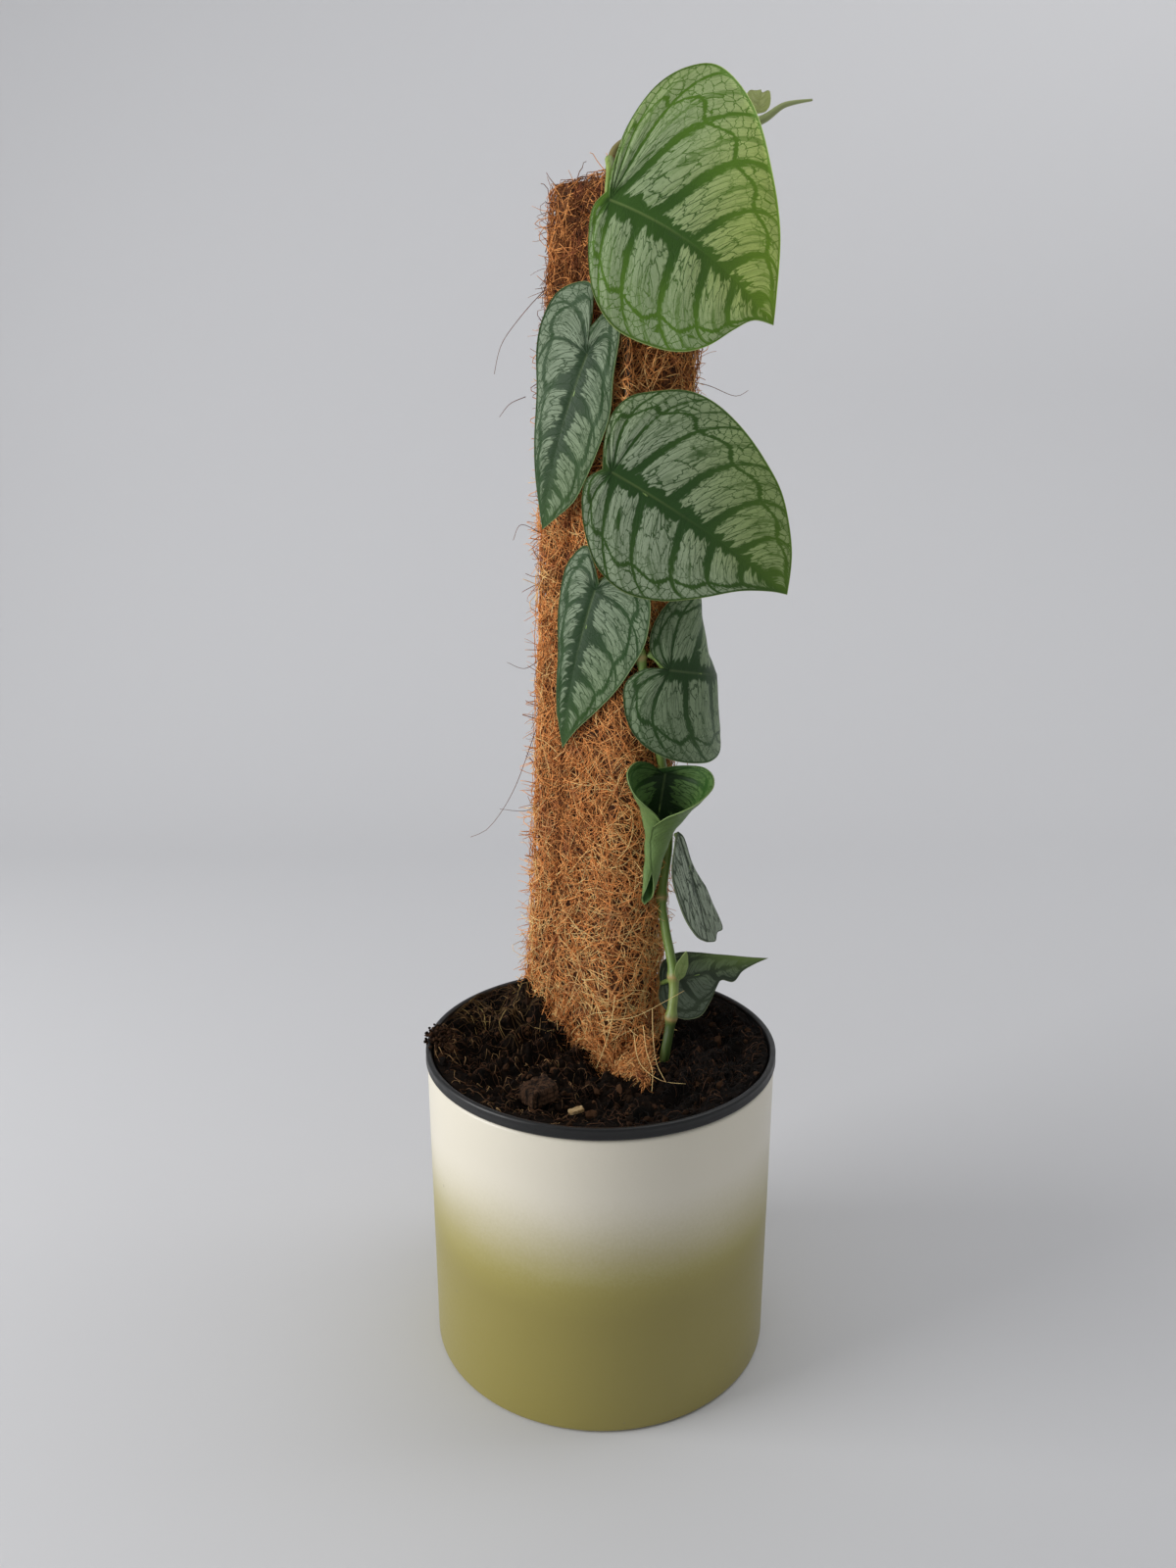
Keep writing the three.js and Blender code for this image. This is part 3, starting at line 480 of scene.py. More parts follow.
def leaf_paint(name, leaf):
    """Green along the veins and silver between them, from the marks that blade_side gives."""
    inner, outer, tip, silver_base, silver_tip, under, rim = LOOKS[leaf["look"]]
    paint = Paint(name, IOR=1.4, Specular_IOR_Level=0.32)
    add, less, times, fade, tint = paint.add, paint.less, paint.times, paint.fade, paint.tint
    vein, share, edge = paint.mark("lamina")
    across, away, seed = paint.mark("flow")
    down_blade, over_blade, spacing = paint.mark("flat")
    down, side, front = paint.mark("tone")

    def streaks(across_scale, away_scale, detail):
        """Noise stretched along the side veins."""
        where = paint.vector(times(across, across_scale), times(away, away_scale), seed)
        return paint.noise(where, detail=detail)

    def net_lines(a, a_scale, b, b_scale, low, high):
        """0 on the small veins between warped cells, 1 inside the cells."""
        where = paint.vector(add(times(a, a_scale), warp), add(times(b, b_scale), warp), seed)
        return fade(paint.cells(where), low, high)

    streak, ragged = streaks(0.5, 0.05, 3), streaks(1.5, 0.5, 3)
    torn = add(times(ragged, 0.2), streak, 0.18)
    to_vein = paint.math("PINGPONG", vein, 0.5)
    beside_vein = add(times(to_vein, spacing), torn)
    beside_vein = fade(less(beside_vein, fade(share, 0.1, 0.95, 0.13, 0.045)), -0.03, 0.04)
    # A thin vein runs between each two side veins, outside the first third
    beside_thin = add(times(paint.math("PINGPONG", add(vein, 0.5), 0.5), spacing), torn)
    beside_thin = fade(less(beside_thin, fade(share, 0.25, 0.55, -0.08, 0.03)), -0.02, 0.04, 0.4, 1.0)
    base_band, tip_band = leaf["band"]
    reach = add(away, add(times(streak, 2.6 * base_band), ragged, 1.4))
    beside_midrib = fade(less(reach, fade(down, 0.0, 1.0, base_band, tip_band)), -0.5, 0.6)
    inside_rim = fade(add(edge, ragged, 1.2), 0.6, 1.3)
    # The collecting vein loops outwards between the side veins
    loop = fade(to_vein, 0.0, 0.5, 0.71, 0.79)
    beside_loop = times(paint.math("ABSOLUTE", less(share, loop)), add(away, edge))
    beside_loop = fade(add(beside_loop, ragged, 2.8), 0.5, 1.2)
    # The net of small veins is long near the midrib and rounder towards the margin
    warp = times(ragged, 0.55)
    if leaf["lengthwise"]:
        silver, outward = times(inside_rim, beside_midrib), 0.0
        net = net_lines(over_blade, 0.5, down_blade, 0.07, 0.0, 0.12)
    else:
        silver = times(times(beside_vein, beside_midrib), times(inside_rim, beside_loop))
        silver, outward = times(silver, beside_thin), fade(share, 0.45, 0.8)
        net = net_lines(across, 0.55, away, 0.12, 0.0, 0.065)
    small_net = net_lines(down_blade, 0.31, over_blade, 0.31, 0.01, 0.065)
    broken = fade(streaks(2.6, 0.3, 2), -0.2, 0.0, 0.6, 1.0)
    shown = times(silver, times(paint.mix(outward, net, small_net), broken))
    green = tint(tint(inner, outer, share, 0.15, 0.7), tip, add(down, side, 0.35), 0.35, 1.1)
    pale = tint(silver_base, silver_tip, add(down, side, 0.45), 0.1, 0.9)
    where = paint.vector(down_blade, over_blade, seed)
    pale = tint(pale, outer, paint.noise(where, scale=2.4, detail=3), -0.1, 0.25, 0.0, 0.22)
    pale = tint(pale, outer, streaks(1.3, 0.07, 2), 0.0, 0.2, 0.0, 0.36)
    colour = paint.mix(shown, green, pale)
    midrib = times(fade(away, 0.1, 0.8, 0.2, 0.0), fade(down, 0.05, 0.6, 1.0, 0.0))
    colour = tint(paint.mix(midrib, colour, rim), rim, edge, 0.1, 0.35, 0.8, 0.0)
    back = tint(under, outer, net, 0.0, 1.0, 0.35, 0.0)
    grain = paint.noise(where, scale=7.0, detail=2)
    paint.set(Base_Color=paint.mix(front, back, colour),
              Roughness=add(times(shown, 0.08), add(0.42, grain, 0.1)))
    paint.relief(add(times(shown, 0.5), add(times(net, 0.35), grain, 0.3)), 0.00022, 0.8)
    return paint.material


def stalk_paint(name, young):
    paint = Paint(name, Roughness=0.45)
    streak = paint.noise(paint.stretched(900, 90), detail=3)
    low, high = ((118, 142, 62), (150, 172, 84)) if young else ((104, 132, 64), (142, 168, 92))
    paint.set(Base_Color=paint.tint(low, high, streak, -0.2, 0.2))
    paint.relief(streak, 0.0003, 0.5)
    return paint.material


def stem_paint():
    """Streaked green, tinted by height, with tan node rings and an olive growing shoot brightened as painted
    light; one tint is partly painted shade.
    """
    paint = Paint("stem_skin", Roughness=0.42)
    z = paint.place()[2]
    streak = paint.noise(paint.stretched(700, 60), detail=3)
    patch = paint.noise(paint.vector(0.0, 0.0, paint.times(z, 24)), detail=2)
    colour = paint.tint((84, 112, 46), (124, 148, 74), streak, -0.2, 0.2)
    colour = paint.tint(colour, (62, 82, 44), patch, 0.0, 0.2, 0.0, 0.5)
    # The tint from 0.31 to 0.35 is coir colour and painted shade behind the upper leaves
    for low, high, below, above, other in STEM_TINTS:
        colour = paint.tint(colour, other, z, low, high, below, above)
    colour = paint.mix(paint.value("ring"), colour, (178, 146, 96))
    # The shoot's pale olive is brightened as painted light, since it lies in shade
    paint.set(Base_Color=paint.mix(paint.value("shoot"), colour, (166, 176, 118)))
    paint.relief(streak, 0.0004, 0.5)
    return paint.material


def fibre_paint(name, dark, middle, bright, ruddy=None, shade=0.0, foot=0.0, right=0.0):
    """The tone takes painted shade near the pole's top by shade, painted light low down by foot, and painted
    shade towards +x by right.
    """
    paint = Paint(name, Roughness=0.8, Specular_IOR_Level=0.25)
    x, _, z = paint.place()
    patch, speck = paint.noise(scale=45.0, detail=3), paint.noise(scale=600.0, detail=2)
    tone = paint.add(paint.value("tone"), paint.add(paint.times(patch, 0.5), speck, 0.5))
    # Painted shade at the top, painted light low down and painted shade towards +x
    for at, low, high, start, end in ((z, 0.39, 0.45, 0.0, shade), (z, 0.15, 0.22, foot, 0.0),
                                      (x, -0.03, 0.035, 0.0, right)):
        tone = paint.add(tone, paint.fade(at, low, high, start, end))
    colour = paint.tint(dark, middle, tone, -0.1, 0.5)
    colour = paint.tint(colour, bright, tone, 0.55, 1.05)
    if ruddy:
        colour = paint.tint(colour, ruddy, paint.noise(scale=110.0, detail=2), 0.02, 0.25, 0.0, 0.55)
    paint.set(Base_Color=colour)
    return paint.material


def core_paint():
    paint = Paint("coir_core", Roughness=1.0)
    strand = paint.noise(scale=380.0, detail=4, bent=2.0)
    paint.set(Base_Color=paint.tint((62, 38, 22), (140, 90, 54), strand, -0.15, 0.2))
    paint.relief(strand, 0.0015)
    return paint.material


def soil_paint():
    """Dark clods with finer brown grains, darker towards +x as painted shade."""
    paint = Paint("soil_mix", Roughness=0.95, Specular_IOR_Level=0.1)
    clod = paint.noise(scale=90.0, detail=5, rough=0.65)
    fine = paint.noise(scale=700.0, detail=3)
    colour = paint.tint((8, 6, 4), (28, 19, 13), clod, -0.15, 0.2)
    colour = paint.tint(colour, (62, 43, 28), fine, 0.08, 0.3)
    # Painted shade: darker towards +x
    paint.set(Base_Color=paint.tint(colour, (6, 4, 3), paint.place()[0], 0.0, 0.04, 0.0, 0.5))
    paint.relief(paint.add(clod, fine, 0.4), 0.0012)
    return paint.material


def crumb_paint():
    """Brown crumbs, a few of them pale, darker towards +x as painted shade."""
    paint = Paint("soil_crumb", Roughness=0.95, Specular_IOR_Level=0.1)
    tone, fine = paint.value("tone"), paint.noise(scale=900.0, detail=3)
    colour = paint.tint((12, 8, 5), (88, 61, 42), tone, 0.0, 0.8)
    # Painted shade: darker towards +x
    colour = paint.tint(colour, (8, 6, 4), paint.place()[0], 0.0, 0.04, 0.0, 0.45)
    colour = paint.tint(colour, (166, 156, 132), tone, 0.9, 0.91)
    paint.set(Base_Color=paint.tint(colour, (40, 27, 18), fine, 0.0, 0.3, 0.0, 0.5))
    paint.relief(fine, 0.0006)
    return paint.material


def glaze_paint():
    """Cream above, olive green below, with a soft uneven change between them and a few specks."""
    paint = Paint("glaze", Coat_Weight=0.25, Coat_Roughness=0.25)
    drift = paint.noise(paint.stretched(14, 30), detail=3)
    mist = paint.noise(scale=900.0, detail=2)
    height = paint.add(paint.place()[2], paint.add(paint.times(drift, 0.012), mist, 0.006))
    colour = paint.tint((163, 152, 78), (230, 223, 205), height, 0.062, 0.109)
    colour = paint.tint(colour, (134, 122, 54), height, 0.05, 0.075, 0.55, 0.0)
    size = paint.noise(scale=30.0, detail=0)
    speck = paint.less(paint.cells(scale=42.0, feature="F1"), paint.times(size, 0.08))
    colour = paint.tint(colour, (120, 112, 96), speck, -0.02, 0.03, 0.6, 0.0)
    paint.set(Base_Color=colour, Roughness=paint.add(0.42, mist, 0.12))
    paint.relief(paint.add(drift, mist, 0.1), 0.0006, 0.6)
    return paint.material


def plastic_paint():
    paint = Paint("pot_plastic")
    scuff, dust = paint.noise(scale=260.0, detail=4), paint.noise(scale=60.0, detail=4)
    paint.set(Base_Color=paint.tint((11, 12, 13), (32, 33, 32), dust, 0.02, 0.3, 0.0, 0.5),
              Roughness=paint.add(0.42, scuff, 0.3))
    paint.relief(scuff, 0.0002, 0.5)
    return paint.material


def bark_paint(name, dark, light, scale):
    """Grain five times as long upwards as across."""
    paint = Paint(name, Roughness=0.95, Specular_IOR_Level=0.15)
    grain = paint.noise(paint.stretched(scale, 0.2 * scale), detail=5, rough=0.65)
    paint.set(Base_Color=paint.tint(dark, light, grain, -0.15, 0.2))
    paint.relief(grain, 0.0012)
    return paint.material


# Leaves
def blade_frame(leaf):
    along = unit(np.array(leaf["along"], float))
    facing = np.array(leaf["facing"], float)
    facing = unit(facing - along * facing.dot(along))
    return along, facing, np.cross(facing, along)


def bent(leaf, along, across):
    """Where a point of the flat blade lies once the blade is arched, cupped or rolled."""
    axis, facing, side = blade_frame(leaf)
    plus, minus = leaf["growth"]
    arch = leaf["arch"] * (1 + np.maximum(across, 0) * plus + np.minimum(across, 0) * minus)
    angle = along * arch
    reach = np.sin(angle) / arch
    drop = (1 - np.cos(angle)) / arch
    normal = facing * np.cos(angle)[..., None] + axis * np.sin(angle)[..., None]
    if leaf["rolled"]:
        at, radius = zip(*leaf["rolled"])
        cup = -1 / (np.interp(along, at, radius) + np.where(across > 0, leaf["overlap"], 0))
    else:
        cup = np.full_like(across, leaf["cup"])
    over = np.sin(across * cup) / cup
    rise = -(1 - np.cos(across * cup)) / cup
    return (np.array(leaf["junction"]) + axis * reach[..., None] - facing * drop[..., None]
            + side * over[..., None] + normal * rise[..., None])


def blade_normal(leaf, along, across):
    step = 0.2
    down = bent(leaf, along + step, across) - bent(leaf, along - step, across)
    over = bent(leaf, along, across + step) - bent(leaf, along, across - step)
    return unit(np.cross(down, over))


def blade_side(leaf, sign, columns, rows):
    """Flat points, marks and relief of one half of a blade. Columns follow the side veins.

    lamina: number of the side vein, share of the way out to the margin, distance left to it.
    flow: place along the margin, distance from the midrib, the half's seed.
    flat: place on the flat blade, and how widely the side veins are spaced there.
    tone: share of the way to the tip, share of the way out with the half's sign, 1 on the front.
    """
    half = 0 if sign > 0 else 1
    margin = smooth_curve([leaf["sinus"], *leaf["minus" if half else "plus"], leaf["tip"]], columns + 1)
    share = np.linspace(0, 1, columns + 1)
    fan = leaf["fan"][half]
    down = np.clip((share - fan) / (1 - fan), 0, 1)
    down = np.where(share > 0.5, down, down**1.15)
    tip = np.array(leaf["tip"], float)
    midrib = np.stack([down * tip[0], 4 * leaf["bow"] * down * (1 - down) + tip[1] * down**2], axis=1)
    out = np.linspace(0, 1, rows + 1)[None]
    flat = midrib[:, None] * (1 - out)[..., None] + margin[:, None] * out[..., None]
    width = np.linalg.norm(margin - midrib, axis=1)[:, None] * np.ones_like(out)
    away, edge, ones = out * width, (1 - out) * width, np.ones_like(width)
    ribs = leaf["ribs"][half]
    at_ribs, numbers = [-0.1, *ribs, 1.05], [-0.4, *range(1, len(ribs) + 2)]
    vein = np.interp(share, at_ribs, numbers)[:, None] - 0.25 * out - 0.75 * out**4
    steps = np.diff(at_ribs) / np.diff(numbers)
    step = steps[np.clip(np.searchsorted(numbers, vein) - 1, 0, len(steps) - 1)]
    spacing = np.clip(step / np.mean(steps[1:-1]), 0.6, 1.8)
    margin_length = np.linalg.norm(np.diff(margin, axis=0), axis=1).sum()
    along_margin = np.interp(vein, numbers, at_ribs) * (margin_length + tip[0]) / 2
    seed = leaf["seed"] * 7.3 + (3.1 if sign > 0 else 0)
    depth, share_out = down[:, None] * ones, out * ones
    marks = {"lamina": (vein, share_out, edge), "flow": (along_margin, away, seed * ones),
             "flat": (flat[..., 0], flat[..., 1], spacing), "tone": (depth, sign * share_out, ones)}
    # The blade swells between the side veins, sinks along the midrib and waves at the margin
    size = min(1.0, tip[0] / 60)
    quilt = np.sin(math.pi * vein) ** 2 * np.clip(away / 5, 0, 1) * np.clip(edge / 4, 0, 1)
    groove = np.exp(-((away / 1.3) ** 2))
    wave = np.sin(TURN * (3.2 * share[:, None] + 0.13 * seed)) * out**3
    relief = size * (0.45 * quilt - 0.4 * groove * (1 - depth) + 0.35 * wave)
    return flat, {name: np.stack(parts, axis=-1) for name, parts in marks.items()}, relief


def make_leaf(name, leaf):
    columns, rows = leaf["grid"]
    line = rows + 1
    total = (columns + 1) * line
    i, j = np.meshgrid(np.arange(columns), np.arange(rows), indexing="ij")
    a = (i * line + j).ravel()
    quads = np.stack([a, a + line, a + line + 1, a + 1], axis=1)
    edge = np.arange(columns) * line + rows
    rim = np.stack([edge, edge + line, edge + line + total, edge + total], axis=1)
    faces = [quads, quads[:, ::-1] + total, rim[:, ::-1]]
    shape = Shape()
    for sign in (1, -1):
        flat, marks, relief = blade_side(leaf, sign, columns, rows)
        along, across = flat[..., 0], flat[..., 1]
        middle, normal = bent(leaf, along, across), blade_normal(leaf, along, across)
        sheets = [middle + normal * (relief + face * BLADE_THICKNESS / 2)[..., None] for face in (1, -1)]
        marks = {mark: np.tile(values.reshape(-1, 3), (2, 1)) for mark, values in marks.items()}
        marks["tone"][total:, 2] = 0
        shape.add(sheets, faces if sign > 0 else [block[:, ::-1] for block in faces], **marks)
    if leaf["petiole"]:
        add_petiole(shape, leaf)
    skins = [leaf_paint(f"{name}_skin", leaf), stalk_paint(f"{name}_stalk", leaf["look"] == "young")]
    piece = shape.build(f"{name}_blade", skins, weld=0.01)
    return ride(piece, LEAF_SLOT.get(name, "leaf"), name)


def add_petiole(shape, leaf):
    """The leaf's stalk, which runs on for a little under the midrib."""
    radius, steps = leaf["petiole_radius"], 30

    def under(distance, depth):
        at, middle = np.array([float(distance)]), np.array([0.0])
        return (bent(leaf, at, middle) - blade_normal(leaf, at, middle) * depth)[0]

    points = [*leaf["petiole"], under(-1, radius + 0.2), under(7, radius - 0.2), under(16, 0.1)]
    share = np.linspace(0, 1, steps)
    radii = radius * (1 - 0.75 * share**2) * (1 + 0.25 * np.exp(-((share / 0.08) ** 2)))
    shape.add(*tubes(smooth_curve(points, steps)[None], radii[None], 10, (0.3, 1, 0.2)), slot=1)


# Pole
POLE_ROUND = 2 * (POLE["length"] + POLE["width"] - 4 * POLE["corner"]) + TURN * POLE["corner"]


def pole_flare(z):
    return np.interp(z, POLE_LEVELS, POLE_FLARE)


def pole_seam(around):
    """How far the skin lies back: a step left of the overlap, and a groove along it."""
    before = np.where(around > POLE_ROUND / 2, around - POLE_ROUND, around) - POLE["seam"]
    step = POLE["seam_step"] * np.clip(1 + (before + 9) / 20, 0, 1) * (before < 0)
    return step + 1.8 * np.exp(-(((before - 0.6) / 1.3) ** 2))


def pole_surface(around, z, lift):
    """Points of the pole's skin: around is the distance along its section, lift the height above it."""
    corner = POLE["corner"]
    a, b, arc = POLE["length"] / 2 - corner, POLE["width"] / 2 - corner, math.pi / 2 * corner
    # Flats and corners in turn: length, where it starts or has its centre, its run, its facing in degrees
    stretches = np.array([
        (2 * a, -a, b, 1, 0, 90), (arc, a, b, 0, 0, 90), (2 * b, a, b, 0, -1, 0), (arc, a, -b, 0, 0, 0),
        (2 * a, a, -b, -1, 0, -90), (arc, -a, -b, 0, 0, -90), (2 * b, -a, -b, 0, 1, -180),
        (arc, -a, b, 0, 0, -180),
    ])
    length = stretches[:, 0]
    ends = np.cumsum(length)
    around = np.mod(around, ends[-1])
    part = np.minimum(np.searchsorted(ends, around, side="right"), len(stretches) - 1)
    inside = around - (ends - length)[part]
    start_a, start_b, run_a, run_b, facing = np.moveaxis(stretches[part], -1, 0)[1:]
    angle = facing / 180 * math.pi - np.where(part % 2 == 1, inside / corner, 0)
    radius = corner + pole_flare(z) + lift - pole_seam(around)
    a = start_a + run_a * inside + radius * np.cos(angle)
    b = start_b + run_b * inside + radius * np.sin(angle)
    cos, sin = math.cos(POLE["turn"]), math.sin(POLE["turn"])
    x = POLE["x"] + POLE["lean"] * (z - POLE["z"]) + a * cos - b * sin
    y = POLE["y"] - a * sin - b * cos
    return np.stack([x, y, z], axis=-1)


def wander(rng, count, steps, length, curl):
    """Directions of curly fibres: each one turns by its own slowly changing amount."""
    turn = rng.normal(0, curl, (count, 1)) + np.cumsum(rng.normal(0, 0.35 * curl, (count, steps)), axis=1)
    heading = rng.uniform(0, TURN, (count, 1)) + np.cumsum(turn, axis=1)
    stride = (length / steps)[:, None]
    return np.cumsum(np.cos(heading) * stride, axis=1), np.cumsum(np.sin(heading) * stride, axis=1)


def blade_tree():
    """A search tree of points on all the blades."""
    points = []
    for leaf in LEAVES.values():
        for sign in (1, -1):
            flat = blade_side(leaf, sign, 44, 18)[0]
            points.append(bent(leaf, flat[..., 0], flat[..., 1]).reshape(-1, 3))
    points = np.concatenate(points)
    tree = kdtree.KDTree(len(points))
    for index, point in enumerate(points):
        tree.insert(point, index)
    tree.balance()
    return tree


BLADES = blade_tree()


def clear_of_blades(paths, room):
    """Which fibres stay that far from every blade, so that none comes through a leaf."""
    away = np.array([BLADES.find(point)[2] for point in paths.reshape(-1, 3)])
    return away.reshape(paths.shape[:2]).min(axis=1) > room


def tapered(rng, radius, count, steps, end):
    """Radii of fibres, drawn from a range, that thin to an end share of themselves."""
    return rng.uniform(*radius, (count, 1)) * np.linspace(1.0, end, steps)[None]


def fibres(name, slot, paths, radii, tone, guide, material):
    """One piece of three-sided fibres. tone has one value for each fibre, or for each of its points."""
    tone = np.broadcast_to(np.reshape(tone, (len(paths), -1)), paths.shape[:2])
    points, faces = tubes(paths, radii, 3, guide)
    ride(one_piece(name, points, faces, material, tone=np.repeat(tone.ravel(), 3)), slot)


def fibre_mat(name, seed, count, lift, radius, length, curl, material):
    """Curly fibres that lie between two heights over the pole's skin, darker at the seam as painted shade in
    its groove.
    """
    rng = np.random.default_rng(seed)
    steps = 8
    over, up = wander(rng, count, steps, rng.uniform(*length, count), curl)
    around = rng.uniform(0, POLE_ROUND, (count, 1)) + over
    z = rng.uniform(POLE["bottom"], POLE["top"] + 1, (count, 1)) + 1.15 * up
    top = POLE["top"] + rng.uniform(-0.5, 1.5, (count, 1))
    # What reaches past the top bends over it
    beyond = np.maximum(z - top, 0)
    level = rng.uniform(*lift, (count, 1))
    wave = np.cumsum(rng.normal(0, 0.35, (count, steps)), axis=1)
    height = level + wave - wave.mean(axis=1, keepdims=True) - 0.9 * beyond
    paths = pole_surface(around, np.minimum(z, top + 0.1 * beyond), np.maximum(height, -12))
    radii = tapered(rng, radius, count, steps, 0.65)
    beside = np.mod(around - POLE["seam"] + POLE_ROUND / 2, POLE_ROUND) - POLE_ROUND / 2
    # Painted shade: fibres by the seam's groove are darker
    tone = rng.uniform(0, 1, (count, 1)) - 0.6 * np.exp(-((beside / 1.9) ** 2))
    kept = clear_of_blades(paths, BLADE_ROOM)
    fibres(name, "coir", paths[kept], radii[kept], tone[kept], POLE_GUIDE, material)


def flyaway_fibres(material):
    """Loose ends that stand off the pole, and the long stray hairs."""
    rng = np.random.default_rng(31)
    count, steps = 4300, 6
    stub = rng.uniform(0, 1, (count, 1)) < 0.5
    long = rng.uniform(4, 10, count) + 14 * rng.beta(1, 3, count)
    long = np.where(stub[:, 0], rng.uniform(1, 6, count), long)
    over, up = wander(rng, count, steps, long, 0.25)
    around = rng.uniform(0, POLE_ROUND, (count, 1)) + over
    z = np.minimum(rng.uniform(POLE["bottom"] + 8, POLE["top"], (count, 1)) + up, POLE["top"] + 6)
    share = np.linspace(0, 1, steps)[None]
    rise = 1.2 + 8.5 * rng.beta(1.2, 2.6, (count, 1))
    loop = np.where(rng.uniform(0, 1, (count, 1)) < 0.45, np.sin(math.pi * share), share**1.3)
    lift = np.where(stub, rng.uniform(2, 8.5, (count, 1)) * share, rise * loop)
    paths = pole_surface(around, z, 0.2 + lift)
    radii = tapered(rng, (0.12, 0.26), count, steps, 0.55)
    tone = rng.uniform(0.0, 0.9, count)
    kept = clear_of_blades(paths, FLYAWAY_ROOM)
    shape = Shape()
    shape.add(*tubes(paths[kept], radii[kept], 3, POLE_GUIDE), tone=np.repeat(tone[kept], steps * 3))
    steps = 16
    for ends in LONG_ENDS:
        radii = np.linspace(0.15, 0.09, steps)
        points, faces = tubes(smooth_curve(ends, steps)[None], radii[None], 4, (0.1, 1.0, 0.2))
        tone = 0.85 if ends[0][2] < LONG_ENDS_FOOT else -0.1
        shape.add(points, faces, tone=np.full(len(points), tone))
    ride(shape.build("coir_flyaways", [material]), "coir")


def foot_fibres(material):
    """A skirt of fibres round the pole's front, and a wedge of them heaped on the soil before its corner."""
    rng = np.random.default_rng(33)
    count, steps = 950, 8
    corner, tip = 45, np.array([19.0, -35.0])
    wedge = rng.uniform(0, 1, (count, 1)) < 0.7
    skirt = rng.normal(corner - 14, 13, (count, 1))
    around = np.where(wedge, rng.uniform(corner - 17, corner + 15, (count, 1)), skirt)
    level = np.full((count, steps), POLE["bottom"] + 16.0)
    foot = pole_surface(around + 0 * level, level, 0 * level)[..., :2]
    toward = rng.beta(1, 1.5, (count, 1, 1)) * 0.95
    middle = np.where(wedge[..., None], foot + (tip - foot) * toward, foot + [0.3, -1.2] * toward)
    long = rng.uniform(6, 20, count)
    spread = np.stack(wander(rng, count, steps, long, 0.14), axis=-1)
    spread -= spread.mean(axis=1, keepdims=True)
    across = middle + spread * (0.95 - 0.5 * toward)
    share = np.linspace(0, 1, steps)[None]
    heap = np.where(wedge, 17 * (1 - toward[..., 0]) ** 1.4, 4) * rng.uniform(0, 1, (count, 1))
    tilt = 0.35 * long[:, None] * rng.uniform(-1, 1, (count, 1)) * (share - 0.5)
    ground = ground_height(across[..., 0], across[..., 1])
    height = ground + 0.4 + np.maximum(heap + tilt, rng.uniform(0, 1.2, (count, 1)))
    paths = np.concatenate([across, height[..., None]], axis=-1)
    radii = tapered(rng, (0.1, 0.22), count, steps, 0.6)
    tone = rng.uniform(-0.35, 0.75, count)
    fibres("coir_foot_fibres", "coir", paths, radii, tone, FOOT_GUIDE, material)


def stem_cover(material):
    """Fibres of the pole that have closed over the stem behind the upper leaves."""
    rng = np.random.default_rng(34)
    count, steps = 520, 8
    path = smooth_curve(STEM_PATH, 420)
    rising = path[: int(np.argmax(path[:, 2] > 470))]
    over, up = wander(rng, count, steps, rng.uniform(8, 20, count), 0.1)
    z = rng.uniform(318, 452, (count, 1)) + up
    aside = rng.uniform(-6, 6, (count, 1)) + over
    stem_x = np.interp(z, rising[:, 2], rising[:, 0])
    stem_y = np.interp(z, rising[:, 2], rising[:, 1])
    proud = rng.uniform(3.6, 5.4, (count, 1))
    y = stem_y + 2.2 - proud * np.exp(-((aside / 3.4) ** 2)) + 0.06 * np.maximum(np.abs(aside) - 3, 0) ** 2
    paths = np.stack([stem_x + aside, y, z], axis=-1)
    radii = tapered(rng, (0.12, 0.24), count, steps, 0.6)
    fibres("coir_over_stem", "coir", paths, radii, rng.uniform(0.0, 1.0, count), POLE_GUIDE, material)


def make_pole():
    """A rough dark core, wound mats of fibre over it, and loose ends."""
    around = np.linspace(0, POLE_ROUND, 121)[:-1]
    levels = [POLE["bottom"] - 12, *np.arange(POLE["bottom"], POLE["top"] - 1, 3.5), POLE["top"] - 0.8]
    grid_around, grid_z = np.meshgrid(around, levels)
    rough = np.array([noise.fractal(Vector((a * 0.2, z * 0.2, 0.0)), 1.0, 2.0, 3)
                      for a, z in zip(grid_around.ravel(), grid_z.ravel())]).reshape(grid_z.shape)
    skin = pole_surface(grid_around, grid_z, -1.6 + 0.9 * rough)
    rings = [skin]
    for share in (0.85, 0.6, 0.3):
        centre = skin[-1].mean(axis=0)
        last = centre + (skin[-1] - centre) * share
        last[:, 2] += 0.6
        rings.append(last[None])
    points = np.concatenate(rings)
    faces = ring_faces(len(points), len(around), flipped=True)
    ride(one_piece("coir_core", points, faces, core_paint()), "coir", "coir_pole")
    # shade paints shade under the leaves at the pole's top, foot paints light at its foot
    coir = fibre_paint("coir_fibre", (116, 68, 35), (250, 172, 100), (255, 224, 154),
                       ruddy=(172, 96, 66), shade=-0.36, foot=0.2)
    fibre_mat("coir_mat_inner", 11, 3100, (-1.2, 0.3), (0.18, 0.32), (18, 36), 0.07, coir)
    fibre_mat("coir_mat_middle", 12, 3300, (-0.4, 1.2), (0.14, 0.26), (15, 32), 0.1, coir)
    fibre_mat("coir_mat_outer", 13, 3500, (0.3, 2.6), (0.1, 0.22), (10, 28), 0.12, coir)
    flyaway_fibres(coir)
    foot_fibres(coir)
    stem_cover(coir)


# Pots
def turned(name, profile, material):
    """A body turned about the pots' axis. The profile starts and ends there, where caps close it."""
    segments = 192
    angle = TURN * np.arange(segments) / segments
    ring = np.array(profile[1:-1], float)
    points = np.stack([ring[:, :1] * np.cos(angle), ring[:, :1] * np.sin(angle),
                       np.broadcast_to(ring[:, 1:], (len(ring), segments))], axis=-1)
    return one_piece(name, points, ring_faces(len(ring), segments), material)


def rounded(x, z, radius, start, end, steps):
    """Points of an arc about x and z, from one angle to the other, in degrees."""
    return [(x + radius * math.cos(math.radians(a)), z + radius * math.sin(math.radians(a)))
            for a in np.linspace(start, end, steps)]


